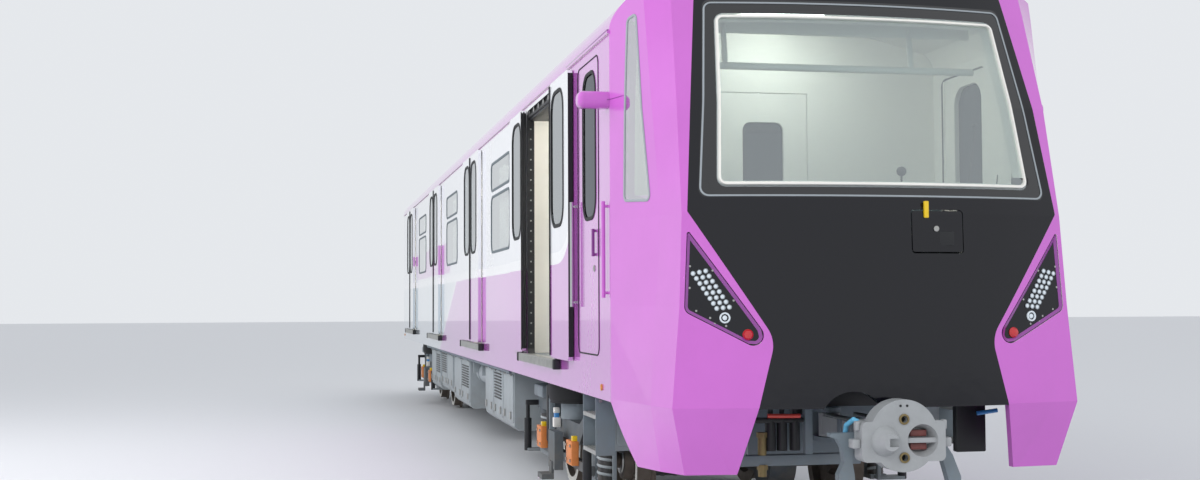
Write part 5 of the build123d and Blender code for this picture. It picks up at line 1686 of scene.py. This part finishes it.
@dataclass
class Bogies:
    """Two bogies with their wheelsets."""

    wheelbase: float = 2.17
    axle_z: float = 0.43
    beam_x: float = 1.03
    spring_off: float = 0.19  # from the axle to each primary spring
    spring_top: float = 0.784  # the rubber of the air springs starts here
    coil_low: float = 0.301
    damper_x: float = 1.19
    damper_off: float = 0.315
    shoe_off: float = 0.715  # from the pivot to each collector block
    brake_off: float = 0.60  # from the axle to each brake unit
    rim: Pair = (0.36, 0.43)

    def dress(self) -> None:
        """Painted frames, rubber air springs and bare wheels."""
        for name, centre in BOGIES:
            def springs(place: Vector, normal: Vector) -> int:
                """Pick a suspension face's finish.

                Args:
                    place: The face's middle.
                    normal: Not used.

                Returns:
                    0 on the axleboxes, 1 on the air springs and 2 on the primary springs' cores, near black
                    as painted shade between the turns.
                """
                z = place.z - RAIL_TOP_Z
                if z > self.spring_top:
                    return 1
                off = abs(abs(place.y - COUPLING_PLANE_Y - centre) - self.wheelbase / 2)
                return 2 if z > self.coil_low and abs(off - self.spring_off) < 0.0585 else 0
            dress(f"suspension_{name}", (AXLEBOX_PAINT, RUBBER, SPRING_CORE_SHADE), springs)
            for part in ("bogie_frame", "traction_drive", "shoe_gear"):
                dress(f"{part}_{name}", (BOGIE_PAINT,))
            for end, way in AXLES:
                hub = car(0, centre + way * self.wheelbase / 2, self.axle_z)

                def rim(place: Vector, normal: Vector) -> int:
                    """Pick a wheelset face's finish.

                    Args:
                        place: The face's middle.
                        normal: The face's direction.

                    Returns:
                        1 on the rim's outer face and 0 elsewhere.
                    """
                    reach = math.hypot(place.y - hub.y, place.z - hub.z)
                    on_rim = self.rim[0] < reach < self.rim[1]
                    return on_rim and abs(normal.x) > 0.95 and abs(place.x) > 0.84
                dress(f"wheelset_{name}_{end}", (WHEEL_STEEL, RIM_PAINT), rim)

    def springs(self, name: str, centre: float) -> None:
        """Wire of the primary springs and the air springs' bulge.

        Args:
            name: The bogie's name.
            centre: Its pivot's y.
        """
        coils, pleats = kit = Kit(primary_coils=SPRING_WIRE, air_spring_bulges=RUBBER)
        for way in (-1, 1):
            axle = centre + way * self.wheelbase / 2
            for offset in (-self.spring_off, self.spring_off):
                coils.coil((self.beam_x, axle + offset, 0.312), 0.286, 0.054, 0.012, 5.4)
        pleats.turned([(0, 0.249), (0.02, 0.262), (0.05, 0.268), (0.12, 0.268), (0.15, 0.262), (0.17, 0.249),
                       (0, 0.249)], (0.965, centre, 0.80), (0, 0, 1), 48)
        kit.settle(f"bogie_{name}", suffix=f"_{name}")

    def boxes(self, name: str, centre: float) -> None:
        """Axlebox covers, guides, dampers, collector blocks, brake units and pipes.

        Args:
            name: The bogie's name.
            centre: Where its pivot is, behind the coupling plane.
        """
        covers, bolts, dampers, guides, sleeves, tags, brakes, pipes = kit = Kit(
            axlebox_covers=CASE_PAINT, axlebox_bolts=BARE_STEEL, dampers=BLACK_PLASTIC,
            axlebox_guides=AXLEBOX_PAINT, collector_insulators=COLLECTOR_RESIN, collector_tags=YELLOW_PAINT,
            brake_units=BOGIE_PAINT, bogie_pipes=CASE_PAINT)
        out = Vector((1, 0, 0))
        cover = [(0, 0.0), (0, 0.12), (0.022, 0.118), (0.036, 0.10), (0.05, 0.09), (0.056, 0.078),
                 (0.056, 0)]
        for way in (-1, 1):
            axle = centre + way * self.wheelbase / 2
            hub = car(self.beam_x + 0.062, axle, self.axle_z)
            covers.turned(cover, hub, out, 40)
            bolts.bolts([hub + Vector((0.024, u, v)) for u, v in circle(8, 0.098)], out, 0.011, 0.01)
            x, off = self.damper_x, axle + way * self.damper_off
            dampers.bar((x, off, 0.27), (x, off, 0.56), 0.033, 24, bevel=0.004)
            dampers.bar((x, off, 0.56), (x, off, 0.71), 0.018, 16)
            dampers.block((1.08, off - 0.022, 0.675), (1.21, off + 0.022, 0.72), 0.006)
            guides.block((1.00, axle + way * 0.235, 0.27), (1.20, off + 0.035 * way, 0.294), 0.004)
            guides.block((0.982, off + way * 0.005, 0.27), (1.01, off + way * 0.041, 0.66), 0.004)
            shoe = centre + way * self.shoe_off
            sleeves.block((1.142, shoe - 0.115, 0.363), (1.20, shoe + 0.115, 0.545), 0.006)
            tags.block((1.15, shoe - 0.10, 0.545), (1.19, shoe - 0.05, 0.585), 0.004)
            feet = [(1.20, shoe + dy, z) for dy in (-0.08, 0.08) for z in (0.40, 0.51)]
            bolts.bolts(feet, out, 0.012, 0.01)
            inner = axle - way * self.brake_off
            brakes.block((0.70, inner - 0.09, 0.40), (0.93, inner + 0.09, 0.60), 0.02)
            brakes.bar((0.79, inner, 0.47), (0.79, inner + way * 0.13, 0.44), 0.05, 24)
            brakes.block((0.73, inner + way * 0.105, 0.34), (0.84, inner + way * 0.135, 0.55), 0.012)
            route = ((0.98, 0.25, 0.70), (0.98, 0.70, 0.76), (0.94, 0.95, 0.80), (0.94, 1.35, 0.80))
            pipes.pipe([(x, centre + way * y, z) for x, y, z in route], 0.013)
        dampers.block((1.10, centre + 0.50, 0.43), (1.16, centre + 0.56, 0.90), 0.006)
        kit.settle(f"bogie_{name}", suffix=f"_{name}")

    def valves(self, name: str, centre: float) -> None:
        """The level valve on its rod, the housing over the rear axle and the motors' ribs.

        Args:
            name: The bogie's name.
            centre: Where its pivot is, behind the coupling plane.
        """
        valves, rings, housings = kit = Kit(
            level_valves=CEILING, level_valve_rings=BLUE_PAINT, bogie_housings=AXLEBOX_PAINT)
        valves.block((1.10, centre + 0.19, 0.57), (1.16, centre + 0.25, 0.65), 0.006)
        rings.block((1.112, centre + 0.20, 0.645), (1.152, centre + 0.24, 0.69), 0.004)
        valves.block((1.108, centre + 0.195, 0.685), (1.156, centre + 0.245, 0.73), 0.006)
        housings.block((1.00, centre + 0.92, 0.762), (1.14, centre + 1.36, 0.87), 0.02)
        housings.block((1.10, centre + 0.47, 0.43), (1.15, centre + 0.50, 0.90), 0.004)
        kit.settle(f"bogie_{name}", suffix=f"_{name}")
        ribs = Shape()
        for y in (centre - 0.56, centre + 0.56):
            for x in (-0.55 + k * 0.1 for k in range(6)):
                ribs.bar((x, y, 0.47), (x + 0.02, y, 0.47), 0.229, 40)
        ribs.settle(f"motor_ribs_{name}", BOGIE_PAINT, f"bogie_{name}")

    def wheels(self, suffix: str, axle: float) -> None:
        """Hub covers and bolts that turn with the wheels.

        Args:
            suffix: The end of the wheelset's name.
            axle: The axle's y.
        """
        hubs, bolts = kit = Kit(wheel_hub_covers=BARE_STEEL, wheel_bolts=BARE_STEEL)
        hubs.turned([(0, 0.062), (0, 0.10), (0.012, 0.098), (0.016, 0.075), (0.016, 0.062), (0, 0.062)],
                    (0.875, axle, self.axle_z), (1, 0, 0), 32)
        holes = [(0.806, axle + u, self.axle_z + v) for u, v in circle(12, 0.20)]
        bolts.bolts(holes, (1, 0, 0), 0.014, 0.014)
        kit.settle(f"wheelset{suffix}", suffix=suffix)

    def build(self) -> None:
        """Build the fittings of both bogies."""
        for name, centre in BOGIES:
            self.springs(name, centre)
            self.boxes(name, centre)
            self.valves(name, centre)
            for end, way in AXLES:
                self.wheels(f"_{name}_{end}", centre + way * self.wheelbase / 2)


@dataclass
class Couplers:
    """The automatic coupler in front, the bar coupler behind and their carriers."""

    height: float = 0.828
    ports: Pair = (0.738, 0.944)
    arms: Pair = (0.14, 0.21)  # the guide arms reach from here to here behind the face
    head_x: float = 0.151
    flange: float = 0.115

    def dress(self) -> None:
        """Grey steel heads on painted carriers."""
        def arms(place: Vector, normal: Vector) -> int:
            """1 on the guide arms beside the head and 0 elsewhere."""
            return self.arms[0] < place.y - COUPLING_PLANE_Y < self.arms[1] and abs(place.x) > self.head_x
        dress("front_coupler", (COUPLER_PAINT, FRAME_PAINT), arms)
        dress("rear_coupler", (COUPLER_PAINT,))
        dress("coupler_carriers", (FRAME_PAINT,))

    def head(self) -> None:
        """Brass port rings, hook blocks, lugs and bores on the front coupler's head; each bore is a black
        disc, painted shade in the hole.
        """
        rings, dark, blocks, lugs = kit = Kit(
            coupler_port_rings=BRASS, coupler_port_seats_and_bore_shade=RUBBER, coupler_hook_blocks=RED_OXIDE,
            coupler_head_lugs=COUPLER_PAINT)
        ring = [(0, 0.0185), (0, 0.029), (0.006, 0.029), (0.008, 0.025), (0.008, 0.0185), (0, 0.0185)]
        for z in self.ports:
            rings.turned(ring, (0, 0, z), (0, -1, 0), 32)
            dark.bar((0, 0.039, z), (0, 0.036, z), 0.0185, 24)
        for sign in (-1, 1):
            z = self.height + sign * 0.036
            blocks.block((0.055, 0.045, z - 0.018), (0.15, 0.075, z + 0.018), 0.006)
            # Black disc for a bore: painted shade in the hole.
            dark.bar((sign * 0.019, 0.004, 1.016), (sign * 0.019, -0.0015, 1.016), 0.007, 16)
            lugs.block((sign * 0.239, 0.03, 0.885), (sign * 0.262, 0.07, 0.935), 0.005)
            lugs.block((sign * 0.239, 0.02, 0.79), (sign * 0.285, 0.09, 0.84), 0.008)
        kit.settle("coupler_front", side=1)

    def shank(self) -> None:
        """Clamps, air pipes and the blue elbow along the front coupler's shank."""
        clamps, pipes, blue = kit = Kit(
            coupler_clamps=FRAME_PAINT, coupler_air_pipes=BARE_STEEL, coupler_blue_hose=BLUE_HOSE)
        for y in (0.42, 0.62, 0.80):
            clamps.block((-0.075, y - 0.03, 0.76), (0.075, y + 0.03, 0.896), 0.01)
        clamps.turned([(0, 0.062), (0, 0.105), (0.05, 0.115), (0.06, 0.115), (0.06, 0.062), (0, 0.062)],
                      (0, 0.335, self.height), (0, 1, 0), 40)
        for x in (-0.09, 0.09):
            pipes.bar((x, 0.33, 0.905), (x, 0.95, 0.905), 0.012, 12)
        blue.pipe([(-0.17, 0.12, 0.90), (-0.225, 0.16, 0.935), (-0.245, 0.22, 0.90),
                   (-0.24, 0.26, 0.83)], 0.014)
        kit.settle("coupler_front", side=1)

    def build(self) -> None:
        """Build the fittings of both couplers."""
        self.head()
        self.shank()
        flange = Shape()
        flange.bolts([(u, 20.075, self.height + v) for u, v in circle(8, self.flange)], (0, -1, 0), 0.014,
                     0.012)
        flange.settle("rear_coupler_bolts", BARE_STEEL, "coupler_rear")


@dataclass
class FrontGear:
    """Cocks, pipes and brackets behind the mask's opening, on both sides of the coupler."""

    line: float = 0.90  # the cocks' axes lie in this plane
    posts: tuple = ((-0.665, -0.615), (-0.25, -0.20))
    cocks: tuple[float, ...] = (-0.46, -0.39, -0.31)

    def build(self) -> None:
        """Build the cross beam, the cocks with their handles and the junction plate."""
        beam, brass, dark, reds, blues = kit = Kit(
            front_gear_beam=FRAME_PAINT, front_air_cocks=BRASS, front_air_gear=BLACK_PLASTIC,
            red_cock_handle=RED_PAINT, blue_cock_handle=BLUE_PAINT)
        y = self.line
        beam.block((-0.67, 0.88, 0.612), (0.10, 0.94, 0.676), 0.008)
        for x0, x1 in self.posts:
            beam.block((x0, 0.885, 0.66), (x1, 0.935, 1.10), 0.006)
        dark.block((-0.45, 0.96, 0.95), (0.45, 0.99, 1.09), 0.006)
        for x, z0, z1 in ((-0.512, 0.55, 0.62), (-0.512, 0.676, 0.81)):
            brass.bar((x, y, z0), (x, y, z1), 0.026, 20)
            brass.bar((x, y, z1 - 0.03), (x, y, z1), 0.034, 6)
        for x in self.cocks:
            dark.bar((x, y, 0.70), (x, y, 0.88), 0.032, 20)
            dark.bar((x, y, 0.85), (x, y, 1.09), 0.016, 12)
        dark.block((-0.56, 0.87, 0.865), (-0.26, 0.95, 0.895), 0.008)
        dark.block((0.735, 0.93, 0.66), (0.93, 0.99, 1.09), 0.01)
        dark.block((-0.30, 0.98, 0.90), (-0.22, 1.02, 1.09), 0.01)
        reds.bar((-0.49, 0.86, 0.909), (-0.295, 0.84, 0.907), 0.013, 12)
        blues.bar((0.855, 0.90, 0.896), (0.98, 0.88, 0.914), 0.013, 12)
        kit.settle(side=1)


@dataclass
class Steps:
    """Treads of the steps under the cab doors and the fittings of the junction boxes beside them."""

    cheeks: Pair = (1.820, 2.257)  # front and rear faces of the two cheek plates
    plate: float = 0.013  # a little over a cheek's thickness
    treads: Pair = (0.627, 0.857)
    rib_pitch: float = 0.024
    box: Pair = (2.100, 2.390)
    box_z: float = 0.80

    def dress(self) -> None:
        """Bare treads between painted cheeks."""
        def pick(place: Vector, normal: Vector) -> int:
            """1 between the cheeks and 0 on them."""
            y = place.y - COUPLING_PLANE_Y
            return self.cheeks[0] + self.plate < y < self.cheeks[1] - self.plate
        dress("cab_steps", (FRAME_PAINT, SILL_ALLOY), pick)

    def build(self) -> None:
        """Build the treads' ribs, the cheeks' bolts and the boxes' lids, latches and glands."""
        ribs, bolts, lids, latches, glands = kit = Kit(
            step_tread_ribs=SILL_ALLOY, step_bolts=BARE_STEEL, junction_box_lids=CASE_PAINT,
            junction_box_latches=BARE_STEEL, junction_box_glands=BLACK_PLASTIC)
        front, rear = self.cheeks
        for z in self.treads:
            for x in (1.222 + self.rib_pitch * i for i in range(5)):
                ribs.block((x, front + 0.02, z), (x + 0.008, rear - 0.02, z + 0.003))
        for y, way in ((front, -1), (rear, 1)):
            bolts.bolts([(x, y, 0.95) for x in (1.235, 1.30)], (0, way, 0), 0.012, 0.009)
        middle = sum(self.box) / 2
        lids.plate((0.25, 0.34), 0.02, 0.012, Plane.RIGHT.at(1.15, middle, self.box_z), 0.003)
        lids.plate((0.26, 0.34), 0.02, 0.012, Plane.FRONT.at(1.0, self.box[0], self.box_z), 0.003)
        for z in (0.69, 0.91):
            latches.block((1.158, middle - 0.02, z - 0.03), (1.172, middle + 0.02, z + 0.03), 0.004)
        for x in (0.93, 1.0, 1.07):
            glands.bar((x, middle, 0.602), (x, middle, 0.575), 0.018, 12)
        kit.settle(junction_box_lids="case_paint")


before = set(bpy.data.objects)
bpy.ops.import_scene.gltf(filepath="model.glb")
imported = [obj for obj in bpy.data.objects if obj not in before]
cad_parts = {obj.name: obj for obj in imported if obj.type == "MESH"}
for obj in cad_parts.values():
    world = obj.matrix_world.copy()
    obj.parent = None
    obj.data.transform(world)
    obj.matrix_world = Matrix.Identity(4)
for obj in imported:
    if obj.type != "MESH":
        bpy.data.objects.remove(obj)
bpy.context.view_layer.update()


def main() -> None:
    """Build and dress the car, one sub-assembly after the other."""
    logging.basicConfig(level=logging.INFO, format="%(message)s")
    for assembly in (CarBody(), CabFront(), CabDoors(), SaloonDoors(), CabRoom(), Saloon(), UnderFloor(),
                     Bogies(), Couplers(), FrontGear(), Steps()):
        for step in ("dress", "build"):
            if hasattr(assembly, step):
                getattr(assembly, step)()
        LOG.info("%s: done", type(assembly).__name__)
    Studio().build()


if __name__ == "__main__":
    main()
